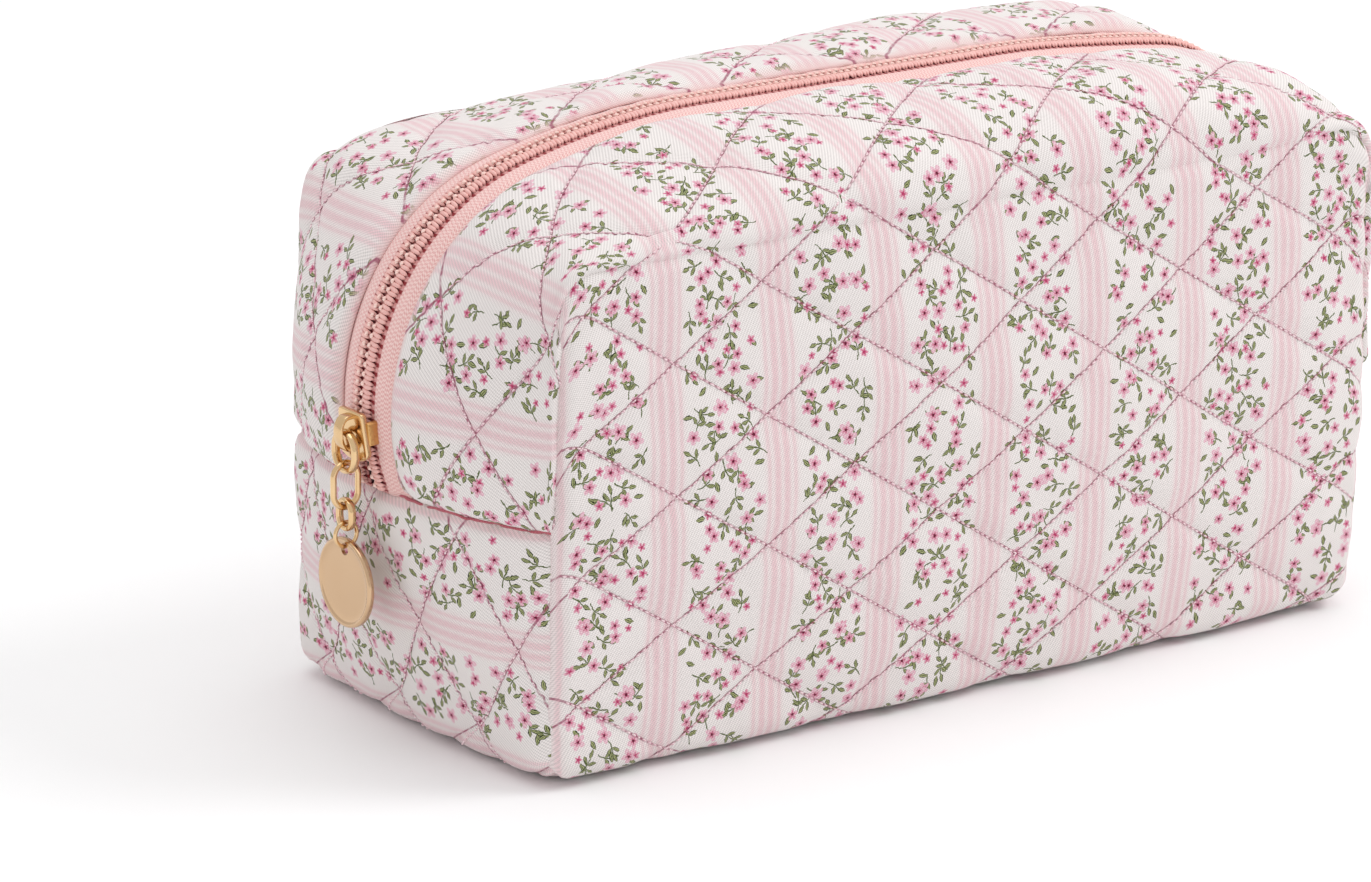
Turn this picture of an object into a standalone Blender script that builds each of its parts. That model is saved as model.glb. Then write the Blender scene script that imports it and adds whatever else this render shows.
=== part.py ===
"""Quilted zip-top makeup bag, about 227 x 102 x 117 mm.

The bag is a soft box sewn from quilted cloth. A coil zip runs from the middle of the left end,
up over the top and down to the middle of the right end. Below it, each end has a level seam,
and each corner has an upright seam. The slider carries a short chain with a blank round disc.

Frame: +X along the bag, +Z up, front at -Y, origin at the centre of the base's underside.
Sizes are in millimetres and turned into metres where the meshes are made.
"""
import math

import bmesh
import bpy
from mathutils import Matrix, Vector

MM = 0.001

# Box of the bag, between its seams
HALF_LENGTH = 100.0
HALF_DEPTH = 44.0
END_SEAM_Z = 50.0
SHOULDER_Z = 100.4
SHOULDER_Y = 45.2
SHOULDER_RADIUS = 9.0
FOOT_RADIUS = 6.0
SIDE_TOP_Z = 97.6

# The zip's line down each end is one arc, which the slider follows
ARC_X = 67.5
ARC_Z = 66.0
ARC_RADIUS = 46.3
CROWN_Z = 116.7
CROWN_FLAT_X = 36.4
LIP_HALF_LENGTH = 80.0

# How far the soft panels belly out
SIDE_BULGE = 6.0
END_FOOT_SHARE = 0.25
SIDE_FOOT_SHARE = 0.2
BULGE_POWER = 2.2

# Cloth and zip
PANEL_THICKNESS = 2.4
LINING_INSET = 2.9
LINING_THICKNESS = 0.8
GAP = 0.3
ZIP_SLOT_Y = 9.0
TAPE_OUTER_Y = 8.6
TAPE_INSET = 1.2
TAPE_THICKNESS = 0.8
COIL_OUTER_Y = 3.4
COIL_RISE = 0.9
COIL_THICKNESS = 1.8
CHANNEL_HALF = 1.1
CLOSED_HALF = 0.25
BINDING_WIDTH = 6.0
BINDING_THICKNESS = 1.0

# Slider, placed on the zip's arc
SLIDER_ANGLE = -5.0
SLIDER_HALF_LENGTH = 5.0
SLIDER_HALF_WIDTH = 4.9
FLANGE_INNER_Y = 3.9
FLANGE_LOW = -0.8
PLATE_LOW = 1.3
PLATE_HIGH = 2.5
KEEL_LOW = -3.6
KEEL_HIGH = -2.6
POST_HALF = 0.7
CROWN_TOP_T = 4.4
CROWN_LOW_T = -2.8
CROWN_CLEAR = 2.5
CROWN_STRAP = 0.8
CROWN_HALF_WIDTH = 1.2
BAR_T = 1.0
BAR_N = 3.75

# Chain: centre-line half width and height, then half thickness across and through the band
PULL_LOOP = (3.4, 7.6, 0.6, 0.8)
LONG_LINK = (2.8, 8.8, 0.6, 0.6)
SMALL_LINK = (2.2, 5.6, 0.5, 0.8)
JUMP_RING = (2.45, 4.9, 0.4, 0.4)
DISC_RADIUS = 8.9
DISC_THICKNESS = 1.4
DISC_RIM = 0.35
HOLE_RADIUS = 1.2
HOLE_MARGIN = 1.05

FRONT = -1
BACK = 1
LEFT = -1
RIGHT = 1
SIDE_NAMES = {FRONT: "front", BACK: "back"}
END_NAMES = {LEFT: "left", RIGHT: "right"}


# ---------------------------------------------------------------- scene and materials
def clear_scene():
    for old in list(bpy.data.objects):
        bpy.data.objects.remove(old, do_unlink=True)


def material(name, colour, roughness, metallic=0.0):
    made = bpy.data.materials.new(name)
    made.use_nodes = True
    shader = made.node_tree.nodes["Principled BSDF"]
    shader.inputs["Base Color"].default_value = (*colour, 1.0)
    shader.inputs["Roughness"].default_value = roughness
    shader.inputs["Metallic"].default_value = metallic
    made.diffuse_color = (*colour, 1.0)
    return made


def make_materials():
    return {
        "quilt": material("quilted_cotton", (0.86, 0.74, 0.74), 0.9),
        "lining": material("lining_cloth", (0.80, 0.62, 0.63), 0.85),
        "tape": material("zip_tape", (0.78, 0.50, 0.50), 0.85),
        "coil": material("zip_coil", (0.70, 0.30, 0.28), 0.45),
        "binding": material("seam_binding", (0.83, 0.66, 0.66), 0.9),
        "gold": material("polished_gold", (0.83, 0.62, 0.36), 0.2, 1.0),
    }


# ---------------------------------------------------------------- mesh helpers
def add_object(name, mesh, paint, origin=None):
    """Object with its origin at a point in metres, its mesh given in world millimetres."""
    place = Vector(origin) if origin is not None else Vector((0, 0, 0))
    mesh.transform(Matrix.Translation(-place) @ Matrix.Scale(MM, 4))
    mesh.materials.append(paint)
    mesh.shade_smooth()
    mesh.set_sharp_from_angle(angle=math.radians(35))
    made = bpy.data.objects.new(name, mesh)
    made.location = place
    bpy.context.collection.objects.link(made)
    return made


def finish_bmesh(name, bm):
    bmesh.ops.recalc_face_normals(bm, faces=bm.faces)
    mesh = bpy.data.meshes.new(name)
    bm.to_mesh(mesh)
    bm.free()
    return mesh


def shell(name, surface, columns, rows, inset, thickness, paint, origin=None):
    """Closed sheet: the surface set in by inset, and its copy set in by inset + thickness."""
    step = 0.001
    points = []
    for i in range(columns + 1):
        for j in range(rows + 1):
            a, b = i / columns, j / rows
            a0, a1 = max(a - step, 0), min(a + step, 1)
            b0, b1 = max(b - step, 0), min(b + step, 1)
            along = surface(a1, b) - surface(a0, b)
            across = surface(a, b1) - surface(a, b0)
            inward = along.cross(across).normalized()
            points.append((surface(a, b), inward))
    middle = points[len(points) // 2]
    towards_core = Vector((0, 0, HALF_LENGTH / 2)) - middle[0]
    sign = 1 if middle[1].dot(towards_core) > 0 else -1
    bm = bmesh.new()
    outer = [bm.verts.new(p + n * sign * inset) for p, n in points]
    inner = [bm.verts.new(p + n * sign * (inset + thickness)) for p, n in points]
    width = rows + 1
    for i in range(columns):
        for j in range(rows):
            ring = (i * width + j, (i + 1) * width + j, (i + 1) * width + j + 1, i * width + j + 1)
            bm.faces.new([outer[k] for k in ring])
            bm.faces.new([inner[k] for k in reversed(ring)])
    rim = list(range(rows))
    rim += [i * width + rows for i in range(columns)]
    rim += [columns * width + j for j in range(rows, 0, -1)]
    rim += [i * width for i in range(columns, 0, -1)]
    for k, here in enumerate(rim):
        there = rim[(k + 1) % len(rim)]
        bm.faces.new((outer[here], outer[there], inner[there], inner[here]))
    return add_object(name, finish_bmesh(name, bm), paint, origin)


def oval_path(half_width, height, steps):
    """Points and outward directions round a stadium that hangs from (0, 0), in its own plane."""
    straight = height - 2 * half_width
    path = []
    for k in range(steps):
        turn = 2 * math.pi * (k + 0.5) / steps
        out = (math.sin(turn), math.cos(turn))
        centre = -half_width - (straight if out[1] < 0 else 0)
        path.append(((out[0] * half_width, centre + out[1] * half_width), out))
    return path


def chain_link(name, size, plane, top, pivot, paint, steps=16, around=8):
    """Oval link in the YZ or XZ plane, from the centre of its top bar down, turning on pivot."""
    half_width, height, half_band, half_depth = size
    side = Vector((0, 1, 0)) if plane == "YZ" else Vector((1, 0, 0))
    normal = Vector((1, 0, 0)) if plane == "YZ" else Vector((0, 1, 0))
    up = Vector((0, 0, 1))
    bm = bmesh.new()
    rings = []
    for (s, z), (out_s, out_z) in oval_path(half_width, height, steps):
        centre = top + side * s + up * z
        outward = side * out_s + up * out_z
        ring = []
        for k in range(around):
            turn = 2 * math.pi * k / around
            offset = outward * math.cos(turn) * half_band + normal * math.sin(turn) * half_depth
            ring.append(bm.verts.new(centre + offset))
        rings.append(ring)
    for k, ring in enumerate(rings):
        after = rings[(k + 1) % len(rings)]
        for m in range(around):
            n = (m + 1) % around
            bm.faces.new((ring[m], ring[n], after[n], after[m]))
    return add_object(name, finish_bmesh(name, bm), paint, pivot * MM)


def prism(name, outline, low, high, lay):
    """Closed bmesh solid: an outline of (a, b) pairs between two heights, placed by lay()."""
    bm = bmesh.new()
    floor = [bm.verts.new(lay(a, b, low)) for a, b in outline]
    roof = [bm.verts.new(lay(a, b, high)) for a, b in outline]
    bm.faces.new(floor)
    bm.faces.new(list(reversed(roof)))
    for k, corner in enumerate(floor):
        after = (k + 1) % len(floor)
        bm.faces.new((corner, floor[after], roof[after], roof[k]))
    return finish_bmesh(name, bm)


# ---------------------------------------------------------------- the bag's outer shape
def fullness(distance, half_span):
    """1 in the middle of a panel, 0 at its seams."""
    return max(0.0, 1.0 - (abs(distance) / half_span) ** BULGE_POWER)


def end_bulge(y):
    return (end_middle_x() - HALF_LENGTH) * fullness(y, HALF_DEPTH)


def end_middle_x():
    """How far the end's middle stands out at the level seam, on the zip's arc."""
    drop = ARC_Z - END_SEAM_Z
    return ARC_X + math.sqrt(ARC_RADIUS ** 2 - drop ** 2)


def side_bulge(x):
    return SIDE_BULGE * fullness(x, HALF_LENGTH)


def arc_end_angle():
    return math.acos((LIP_HALF_LENGTH - ARC_X) / ARC_RADIUS)


def crown_z(x):
    """Height of the zip's line along the top."""
    arc_top = ARC_Z + ARC_RADIUS * math.sin(arc_end_angle())
    beyond = max(0.0, abs(x) - CROWN_FLAT_X) / (LIP_HALF_LENGTH - CROWN_FLAT_X)
    return CROWN_Z - (CROWN_Z - arc_top) * beyond ** 2


def crown_point(q):
    """Zip's line on an end, from the level seam (q = 0) up to the lips' end (q = 1)."""
    start = math.asin((END_SEAM_Z + GAP - ARC_Z) / ARC_RADIUS)
    angle = start + (arc_end_angle() - start) * q
    return ARC_X + ARC_RADIUS * math.cos(angle), ARC_Z + ARC_RADIUS * math.sin(angle)


def shoulder_point(q):
    """The same line at the front or back edge: straight up, round the shoulder, then level."""
    upright = SHOULDER_Z - SHOULDER_RADIUS - END_SEAM_Z - GAP
    bend = SHOULDER_RADIUS * math.pi / 2
    level = HALF_LENGTH - SHOULDER_RADIUS - LIP_HALF_LENGTH
    run = q * (upright + bend + level)
    if run <= upright:
        return HALF_LENGTH, END_SEAM_Z + GAP + run
    if run <= upright + bend:
        angle = (run - upright) / SHOULDER_RADIUS
        x = HALF_LENGTH - SHOULDER_RADIUS * (1 - math.cos(angle))
        return x, SHOULDER_Z - SHOULDER_RADIUS * (1 - math.sin(angle))
    return HALF_LENGTH - SHOULDER_RADIUS - (run - upright - bend), SHOULDER_Z


def end_upper_surface(end, side, y_outer, y_inner, q_low=0.0, q_high=1.0):
    """Upper part of an end, on one side of the zip, from its outer edge to the zip."""
    def surface(a, b):
        q = q_low + (q_high - q_low) * a
        edge = HALF_DEPTH + (SHOULDER_Y - HALF_DEPTH) * min(1.0, 2 * q)
        outer = min(y_outer, edge) if y_outer else edge
        y = outer + (y_inner - outer) * b
        share = fullness(y, edge)
        low, high = shoulder_point(q), crown_point(q)
        x = low[0] + (high[0] - low[0]) * share
        z = low[1] + (high[1] - low[1]) * share
        return Vector((end * x, side * y, z))
    return surface


def top_surface(side, y_outer, y_inner, half_length):
    """Top panel on one side of the zip."""
    def surface(a, b):
        x = half_length * (2 * a - 1)
        y = y_outer + (y_inner - y_outer) * b
        z = SHOULDER_Z + (crown_z(x) - SHOULDER_Z) * fullness(y, SHOULDER_Y)
        return Vector((x, side * y, z))
    return surface


def end_lower_surface(end, half_width, z_high, foot_share):
    """Lower part of an end, from the level seam down and round under the foot."""
    def surface(a, b):
        turn = min(1.0, (1 - a) / foot_share) * math.pi / 2
        rise = max(0.0, (1 - a - foot_share) / (1 - foot_share))
        z = FOOT_RADIUS * (1 - math.cos(turn)) + (z_high - FOOT_RADIUS) * rise
        y = (2 * b - 1) * (half_width - FOOT_RADIUS * (1 - math.sin(turn)))
        swell = END_FOOT_SHARE + (1 - END_FOOT_SHARE) * math.sin(rise * math.pi / 2)
        x = HALF_LENGTH - FOOT_RADIUS * (1 - math.sin(turn)) + swell * end_bulge(y)
        return Vector((end * x, y, z))
    return surface


def side_top_z(x, clearance):
    """Upper edge of the front or back, which drops round the shoulder at its ends."""
    radius = SIDE_TOP_Z - (SHOULDER_Z - SHOULDER_RADIUS)
    beyond = abs(x) - (HALF_LENGTH - SHOULDER_RADIUS)
    if beyond <= 0:
        return SIDE_TOP_Z - clearance
    drop = radius - math.sqrt(max(0.0, radius ** 2 - beyond ** 2))
    return SIDE_TOP_Z - drop - clearance


def side_surface(side, half_length, clearance, foot_share):
    """Front or back, from under the foot up to the shoulder."""
    def surface(a, b):
        turn = min(1.0, b / foot_share) * math.pi / 2
        rise = max(0.0, (b - foot_share) / (1 - foot_share))
        x = (2 * a - 1) * (half_length - FOOT_RADIUS * (1 - math.sin(turn)))
        z_low = FOOT_RADIUS * (1 - math.cos(turn))
        z = z_low + (side_top_z(x, clearance) - FOOT_RADIUS) * rise
        swell = SIDE_FOOT_SHARE + (1 - SIDE_FOOT_SHARE) * math.sin(rise * math.pi)
        y = HALF_DEPTH - FOOT_RADIUS * (1 - math.sin(turn)) + swell * side_bulge(x)
        return Vector((x, side * y, z))
    return surface


def base_surface(half_length, half_width):
    def surface(a, b):
        y = (2 * b - 1) * half_width
        x = (2 * a - 1) * (half_length + END_FOOT_SHARE * end_bulge(y))
        y = (2 * b - 1) * (half_width + SIDE_FOOT_SHARE * side_bulge(x))
        return Vector((x, y, 0))
    return surface


# ---------------------------------------------------------------- bag
def make_panels(paint):
    foot_x = HALF_LENGTH - FOOT_RADIUS - GAP
    foot_y = HALF_DEPTH - FOOT_RADIUS - GAP
    shell("base_panel", base_surface(foot_x, foot_y), 10, 6, 0, PANEL_THICKNESS, paint)
    side_half = HALF_LENGTH - PANEL_THICKNESS - 2 * GAP
    for side, name in SIDE_NAMES.items():
        shape = side_surface(side, side_half, 0, 0.25)
        shell(name + "_panel", shape, 12, 8, 0, PANEL_THICKNESS, paint)
    for end, name in END_NAMES.items():
        shape = end_lower_surface(end, HALF_DEPTH, END_SEAM_Z - GAP, 0.25)
        shell(name + "_end_lower", shape, 8, 10, 0, PANEL_THICKNESS, paint)
        for side, side_name in SIDE_NAMES.items():
            shape = end_upper_surface(end, side, None, ZIP_SLOT_Y)
            shell(name + "_end_" + side_name, shape, 12, 5, 0, PANEL_THICKNESS, paint)


def make_lining(paint):
    inner_x = HALF_LENGTH - FOOT_RADIUS - 4.0
    inner_y = HALF_DEPTH - FOOT_RADIUS - 3.0
    shape = base_surface(inner_x, inner_y)
    shell("base_lining", shape, 6, 4, LINING_INSET, LINING_THICKNESS, paint)
    for side, name in SIDE_NAMES.items():
        shape = side_surface(side, HALF_LENGTH - FOOT_RADIUS, 2.0, 0.2)
        part = crop(shape, 0, 1, 0.2, 1)
        shell(name + "_lining", part, 8, 5, LINING_INSET, LINING_THICKNESS, paint)
    for end, name in END_NAMES.items():
        shape = end_lower_surface(end, HALF_DEPTH - 4.0, END_SEAM_Z - 2.0, 0.2)
        part = crop(shape, 0, 0.8, 0, 1)
        shell(name + "_lining_lower", part, 4, 6, LINING_INSET, LINING_THICKNESS, paint)
        for side, side_name in SIDE_NAMES.items():
            shape = end_upper_surface(end, side, HALF_DEPTH - 4.0, ZIP_SLOT_Y + 2.0, 0.06, 0.97)
            lining = name + "_lining_" + side_name
            shell(lining, shape, 8, 3, LINING_INSET, LINING_THICKNESS, paint)


def crop(surface, a_low, a_high, b_low, b_high):
    def part(a, b):
        return surface(a_low + (a_high - a_low) * a, b_low + (b_high - b_low) * b)
    return part


def make_bindings(paint):
    """Bound seam allowances, standing into the bag at its corners and along its end seams."""
    reach = BINDING_WIDTH / 2
    for end, end_name in END_NAMES.items():
        for side, side_name in SIDE_NAMES.items():
            centre = Vector((end * (HALF_LENGTH - 7.0), side * (HALF_DEPTH - 6.6), 0))
            along = Vector((end, side, 0)).normalized()
            across = Vector((-side, end, 0)).normalized()

            def lay(a, b, z, centre=centre, along=along, across=across):
                return centre + along * a + across * b + Vector((0, 0, z))

            half = BINDING_THICKNESS / 2
            outline = [(-reach, -half), (reach, -half), (reach, half), (-reach, half)]
            name = end_name + "_" + side_name + "_seam_binding"
            mesh = prism(name, outline, FOOT_RADIUS + 2.0, SHOULDER_Z - SHOULDER_RADIUS, lay)
            add_object(name, mesh, paint)

        def ledge(a, b, end=end):
            y = (2 * a - 1) * (HALF_DEPTH - 8.0)
            x = HALF_LENGTH + end_bulge(y) - PANEL_THICKNESS - 1.8 - BINDING_WIDTH * b
            return Vector((end * x, y, END_SEAM_Z))

        name = end_name + "_end_seam_binding"
        shell(name, ledge, 8, 1, -BINDING_THICKNESS / 2, BINDING_THICKNESS, paint)


def hinge_point(side):
    return (0, side * SHOULDER_Y * MM, SHOULDER_Z * MM)


def make_lips(paints):
    """The two flaps beside the zip, with their lining, on hinges along the bag's top edges."""
    half = LIP_HALF_LENGTH - GAP
    for side, name in SIDE_NAMES.items():
        origin = hinge_point(side)
        shape = top_surface(side, SHOULDER_Y, ZIP_SLOT_Y, half)
        shell(name + "_lip", shape, 12, 5, 0, PANEL_THICKNESS, paints["quilt"], origin)
        shape = top_surface(side, HALF_DEPTH - 4.0, ZIP_SLOT_Y + 2.0, half - 1.0)
        lining = name + "_lip_lining"
        shell(lining, shape, 8, 3, LINING_INSET, LINING_THICKNESS, paints["lining"], origin)


def make_zip(paints):
    """Tape and coil in three runs a side: down each end, and along the lip that opens."""
    for side, name in SIDE_NAMES.items():
        for end, end_name in END_NAMES.items():
            shape = end_upper_surface(end, side, TAPE_OUTER_Y, CHANNEL_HALF)
            tape = end_name + "_tape_" + name
            shell(tape, shape, 12, 1, TAPE_INSET, TAPE_THICKNESS, paints["tape"])
            shape = end_upper_surface(end, side, COIL_OUTER_Y, CHANNEL_HALF)
            coil = end_name + "_coil_" + name
            shell(coil, shape, 12, 1, -COIL_RISE, COIL_THICKNESS, paints["coil"])
        origin = hinge_point(side)
        half = LIP_HALF_LENGTH - GAP
        shape = top_surface(side, TAPE_OUTER_Y, CLOSED_HALF, half)
        shell(name + "_lip_tape", shape, 12, 1, TAPE_INSET, TAPE_THICKNESS, paints["tape"], origin)
        shape = top_surface(side, COIL_OUTER_Y, CLOSED_HALF, half)
        shell(name + "_lip_coil", shape, 12, 1, -COIL_RISE, COIL_THICKNESS, paints["coil"], origin)


# ---------------------------------------------------------------- slider
def on_slider(y, t, n):
    """Point at the slider: t along the zip, y across it, n out from the bag."""
    angle = math.radians(SLIDER_ANGLE)
    out = Vector((-math.cos(angle), 0, math.sin(angle)))
    along = Vector((math.sin(angle), 0, math.cos(angle)))
    foot = Vector((-ARC_X, 0, ARC_Z)) + out * ARC_RADIUS
    return foot + along * t + out * n + Vector((0, y, 0))


def slider_outline(half_width):
    """Rounded at its wide lower end and square at its narrower upper end."""
    upper = half_width * 0.82
    outline = [(-upper, SLIDER_HALF_LENGTH), (upper, SLIDER_HALF_LENGTH)]
    steps = 6
    for k in range(steps + 1):
        turn = math.pi * k / steps
        drop = 2.2 * math.sin(turn)
        outline.append((half_width * math.cos(turn), -SLIDER_HALF_LENGTH + 2.2 - drop))
    return outline


def slider_pivot():
    return Vector((-ARC_X, 0, ARC_Z)) * MM


def union_with(target, name, mesh, paint, origin):
    """Adds a solid to target; the tool itself is only a guide."""
    tool = add_object(name, mesh, paint, origin)
    tool.hide_render = True
    tool.display_type = "WIRE"
    joined = target.modifiers.new(name, "BOOLEAN")
    joined.operation = "UNION"
    joined.object = tool


def make_slider(paint):
    origin = slider_pivot()
    plate = prism("slider_body", slider_outline(SLIDER_HALF_WIDTH), PLATE_LOW, PLATE_HIGH, on_slider)
    body = add_object("slider_body", plate, paint, origin)
    for side, name in SIDE_NAMES.items():
        inner, outer = side * FLANGE_INNER_Y, side * (SLIDER_HALF_WIDTH - 0.1)
        wall = [(inner, -2.4), (outer, -2.4), (outer, 3.4), (inner, 3.4)]
        mesh = prism("flange_tool", wall, FLANGE_LOW, PLATE_HIGH - 0.3, on_slider)
        union_with(body, name + "_flange_guide", mesh, paint, origin)
    post = [(-POST_HALF, -4.6), (POST_HALF, -4.6), (POST_HALF, -2.4), (-POST_HALF, -2.4)]
    mesh = prism("post_tool", post, KEEL_LOW + 0.3, PLATE_LOW + 0.3, on_slider)
    union_with(body, "post_guide", mesh, paint, origin)
    mesh = prism("keel_tool", slider_outline(FLANGE_INNER_Y), KEEL_LOW, KEEL_HIGH, on_slider)
    union_with(body, "keel_guide", mesh, paint, origin)
    edge = body.modifiers.new("cast_edges", "BEVEL")
    edge.width = 0.25 * MM
    edge.segments = 2
    edge.limit_method = "ANGLE"
    return body


def make_crown(paint):
    """Pressed strap over the slider that holds the pull loop."""
    origin = slider_pivot()
    middle = (CROWN_TOP_T + CROWN_LOW_T) / 2
    inner_half = (CROWN_TOP_T - CROWN_LOW_T) / 2 - CROWN_STRAP
    foot = PLATE_HIGH + GAP
    steps = 8
    rails = []
    for grow in (0.0, CROWN_STRAP):
        rail = [(middle + inner_half + grow, foot)]
        for k in range(steps + 1):
            turn = math.pi * k / steps
            reach = (inner_half + grow) * math.cos(turn)
            lift = (CROWN_CLEAR - 1.0 + grow) * math.sin(turn)
            rail.append((middle + reach, PLATE_HIGH + 1.0 + lift))
        rail.append((middle - inner_half - grow, foot))
        rails.append(rail)
    outline = rails[1] + list(reversed(rails[0]))

    def lay_upright(t, n, y):
        return on_slider(y, t, n)

    mesh = prism("slider_crown", outline, -CROWN_HALF_WIDTH, CROWN_HALF_WIDTH, lay_upright)
    return add_object("slider_crown", mesh, paint, origin)


# ---------------------------------------------------------------- pull chain
def hang_from(top, upper, lower):
    """Centre of the next link's top bar, inside the lower end of the link above."""
    drop = upper[1] - upper[2] - lower[2] - GAP
    return top - Vector((0, 0, drop))


def make_disc(wire, paint):
    """Blank round disc with a raised rim and a hole near its edge, on the ring's lowest point."""
    hole = wire + Vector((0, 0, JUMP_RING[2] + GAP - HOLE_RADIUS))
    centre = hole + Vector((0, 0, HOLE_RADIUS + HOLE_MARGIN - DISC_RADIUS))
    half = DISC_THICKNESS / 2
    profile = [
        (0.0, half - DISC_RIM),
        (DISC_RADIUS - 0.9, half - DISC_RIM),
        (DISC_RADIUS - 0.7, half),
        (DISC_RADIUS - 0.15, half),
        (DISC_RADIUS, half - 0.15),
        (DISC_RADIUS, -half + 0.15),
        (DISC_RADIUS - 0.15, -half),
        (0.0, -half),
    ]
    bm = bmesh.new()
    line = [bm.verts.new((-h, 0, r)) for r, h in profile]
    edges = [bm.edges.new(pair) for pair in zip(line, line[1:])]
    bmesh.ops.spin(
        bm, geom=line + edges, cent=(0, 0, 0), axis=(1, 0, 0), angle=2 * math.pi,
        steps=36, use_merge=True,
    )
    bmesh.ops.remove_doubles(bm, verts=bm.verts, dist=0.001)
    bmesh.ops.translate(bm, verts=bm.verts, vec=centre)
    disc = add_object("pull_disc", finish_bmesh("pull_disc", bm), paint, wire * MM)
    drill = bmesh.new()
    bmesh.ops.create_cone(
        drill, cap_ends=True, segments=16, radius1=HOLE_RADIUS, radius2=HOLE_RADIUS,
        depth=4 * DISC_THICKNESS, matrix=Matrix.Translation(hole) @ Matrix.Rotation(math.pi / 2, 4, "Y"),
    )
    cutter = add_object("disc_hole_guide", finish_bmesh("disc_hole_guide", drill), paint, wire * MM)
    cutter.hide_render = True
    cutter.display_type = "WIRE"
    cut = disc.modifiers.new("hole", "BOOLEAN")
    cut.operation = "DIFFERENCE"
    cut.object = cutter


def low_bar(top, link):
    """Centre of a link's bottom bar, on which the next link turns."""
    return top - Vector((0, 0, link[1]))


def make_chain(paint):
    loop_top = on_slider(0, BAR_T, BAR_N)
    chain_link("pull_loop", PULL_LOOP, "YZ", loop_top, loop_top, paint)
    long_top = hang_from(loop_top, PULL_LOOP, LONG_LINK)
    chain_link("long_link", LONG_LINK, "XZ", long_top, low_bar(loop_top, PULL_LOOP), paint)
    small_top = hang_from(long_top, LONG_LINK, SMALL_LINK)
    chain_link("small_link", SMALL_LINK, "YZ", small_top, low_bar(long_top, LONG_LINK), paint)
    ring_top = hang_from(small_top, SMALL_LINK, JUMP_RING)
    chain_link("jump_ring", JUMP_RING, "XZ", ring_top, low_bar(small_top, SMALL_LINK), paint)
    make_disc(low_bar(ring_top, JUMP_RING), paint)


def main():
    clear_scene()
    paints = make_materials()
    make_panels(paints["quilt"])
    make_lining(paints["lining"])
    make_bindings(paints["binding"])
    make_lips(paints)
    make_zip(paints)
    make_slider(paints["gold"])
    make_crown(paints["gold"])
    make_chain(paints["gold"])


main()
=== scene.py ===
"""Looks of a boxy quilted makeup bag: printed cloth, quilting stitches, coil zip, gold slider and chain.

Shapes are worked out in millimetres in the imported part's own frame and turned to metres once,
in add_mesh(). The bag's length runs along X, the front faces -Y, and the base lies on Z = 0.
"""
import math

import bpy
import numpy as np
from mathutils import Matrix, Vector, noise


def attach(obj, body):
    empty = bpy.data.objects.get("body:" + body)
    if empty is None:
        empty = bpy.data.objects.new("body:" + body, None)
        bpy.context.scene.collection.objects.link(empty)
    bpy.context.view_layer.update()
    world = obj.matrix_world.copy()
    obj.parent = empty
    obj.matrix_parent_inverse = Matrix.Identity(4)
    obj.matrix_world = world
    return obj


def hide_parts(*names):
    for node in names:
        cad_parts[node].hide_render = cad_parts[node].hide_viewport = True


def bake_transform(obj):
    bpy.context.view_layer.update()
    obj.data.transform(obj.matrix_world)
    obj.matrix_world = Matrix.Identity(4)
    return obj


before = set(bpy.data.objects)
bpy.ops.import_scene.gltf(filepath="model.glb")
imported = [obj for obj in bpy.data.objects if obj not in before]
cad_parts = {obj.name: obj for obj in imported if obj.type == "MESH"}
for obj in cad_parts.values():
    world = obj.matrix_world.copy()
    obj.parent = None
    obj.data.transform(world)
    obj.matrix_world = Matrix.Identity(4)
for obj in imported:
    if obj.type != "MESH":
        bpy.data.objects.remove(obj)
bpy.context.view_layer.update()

MM = 0.001
LEFT, RIGHT = -1, 1
FRONT, BACK = -1, 1
END_NAMES = {LEFT: "left", RIGHT: "right"}
SIDE_NAMES = {FRONT: "front", BACK: "back"}
BAG_MIDDLE = np.array([0.0, 0.0, 50.0])

# Outline of the bag, as packed
HALF_LENGTH = 100.0
HALF_DEPTH = 44.0
END_SEAM_Z = 50.3
SHOULDER_Z = 100.4
SHOULDER_Y = 45.2
SHOULDER_RADIUS = 9.0
LEVEL_END = HALF_LENGTH - SHOULDER_RADIUS
BEND_RUN = SHOULDER_RADIUS * math.pi / 2
RUN_END = LEVEL_END + BEND_RUN + SHOULDER_Z - SHOULDER_RADIUS - END_SEAM_Z
FOOT_RADIUS = 6.0
FOOT_RUN = FOOT_RADIUS * math.pi / 2
FOOT_LOW = FOOT_RADIUS - FOOT_RUN
ARC_X, ARC_Z, ARC_RADIUS = 67.5, 66.0, 46.3
LIP_HALF = 80.0
ARC_HIGH = math.acos((LIP_HALF - ARC_X) / ARC_RADIUS)
ARC_LOW = math.asin((END_SEAM_Z - ARC_Z) / ARC_RADIUS)
CROWN_Z = 116.7
CROWN_FLAT = 36.4
SIDE_BULGE = 6.0
END_BULGE = ARC_X + math.sqrt(ARC_RADIUS ** 2 - 16.0 ** 2) - HALF_LENGTH
END_FOOT_SHARE = 0.25
SIDE_FOOT_SHARE = 0.2
BULGE_POWER = 2.2
BOX_POWER = 4.3
BOX_RISE = 2.5

# Cloth
GRID = 1.25
ZIP_EDGE_Y = 9.0
FOLD_REACH = 12.0
PUFF_HEIGHT = 1.45
PUFF_REACH = 8.0
GATHER = 0.9
QUILT_A = 20.5
QUILT_B = 12.9
QUILT_PHASE = {FRONT: (-94.5, 67.3), BACK: (-88.6, 74.7)}
LINE_SCALE = 1 / math.hypot(1 / QUILT_A, 1 / QUILT_B)
STITCH_PITCH = 3.0
STRIPE_PITCH = 25.5
LINING_INSET = 3.3
LINING_THICKNESS = 0.5
CORD_SIDES = 8

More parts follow.
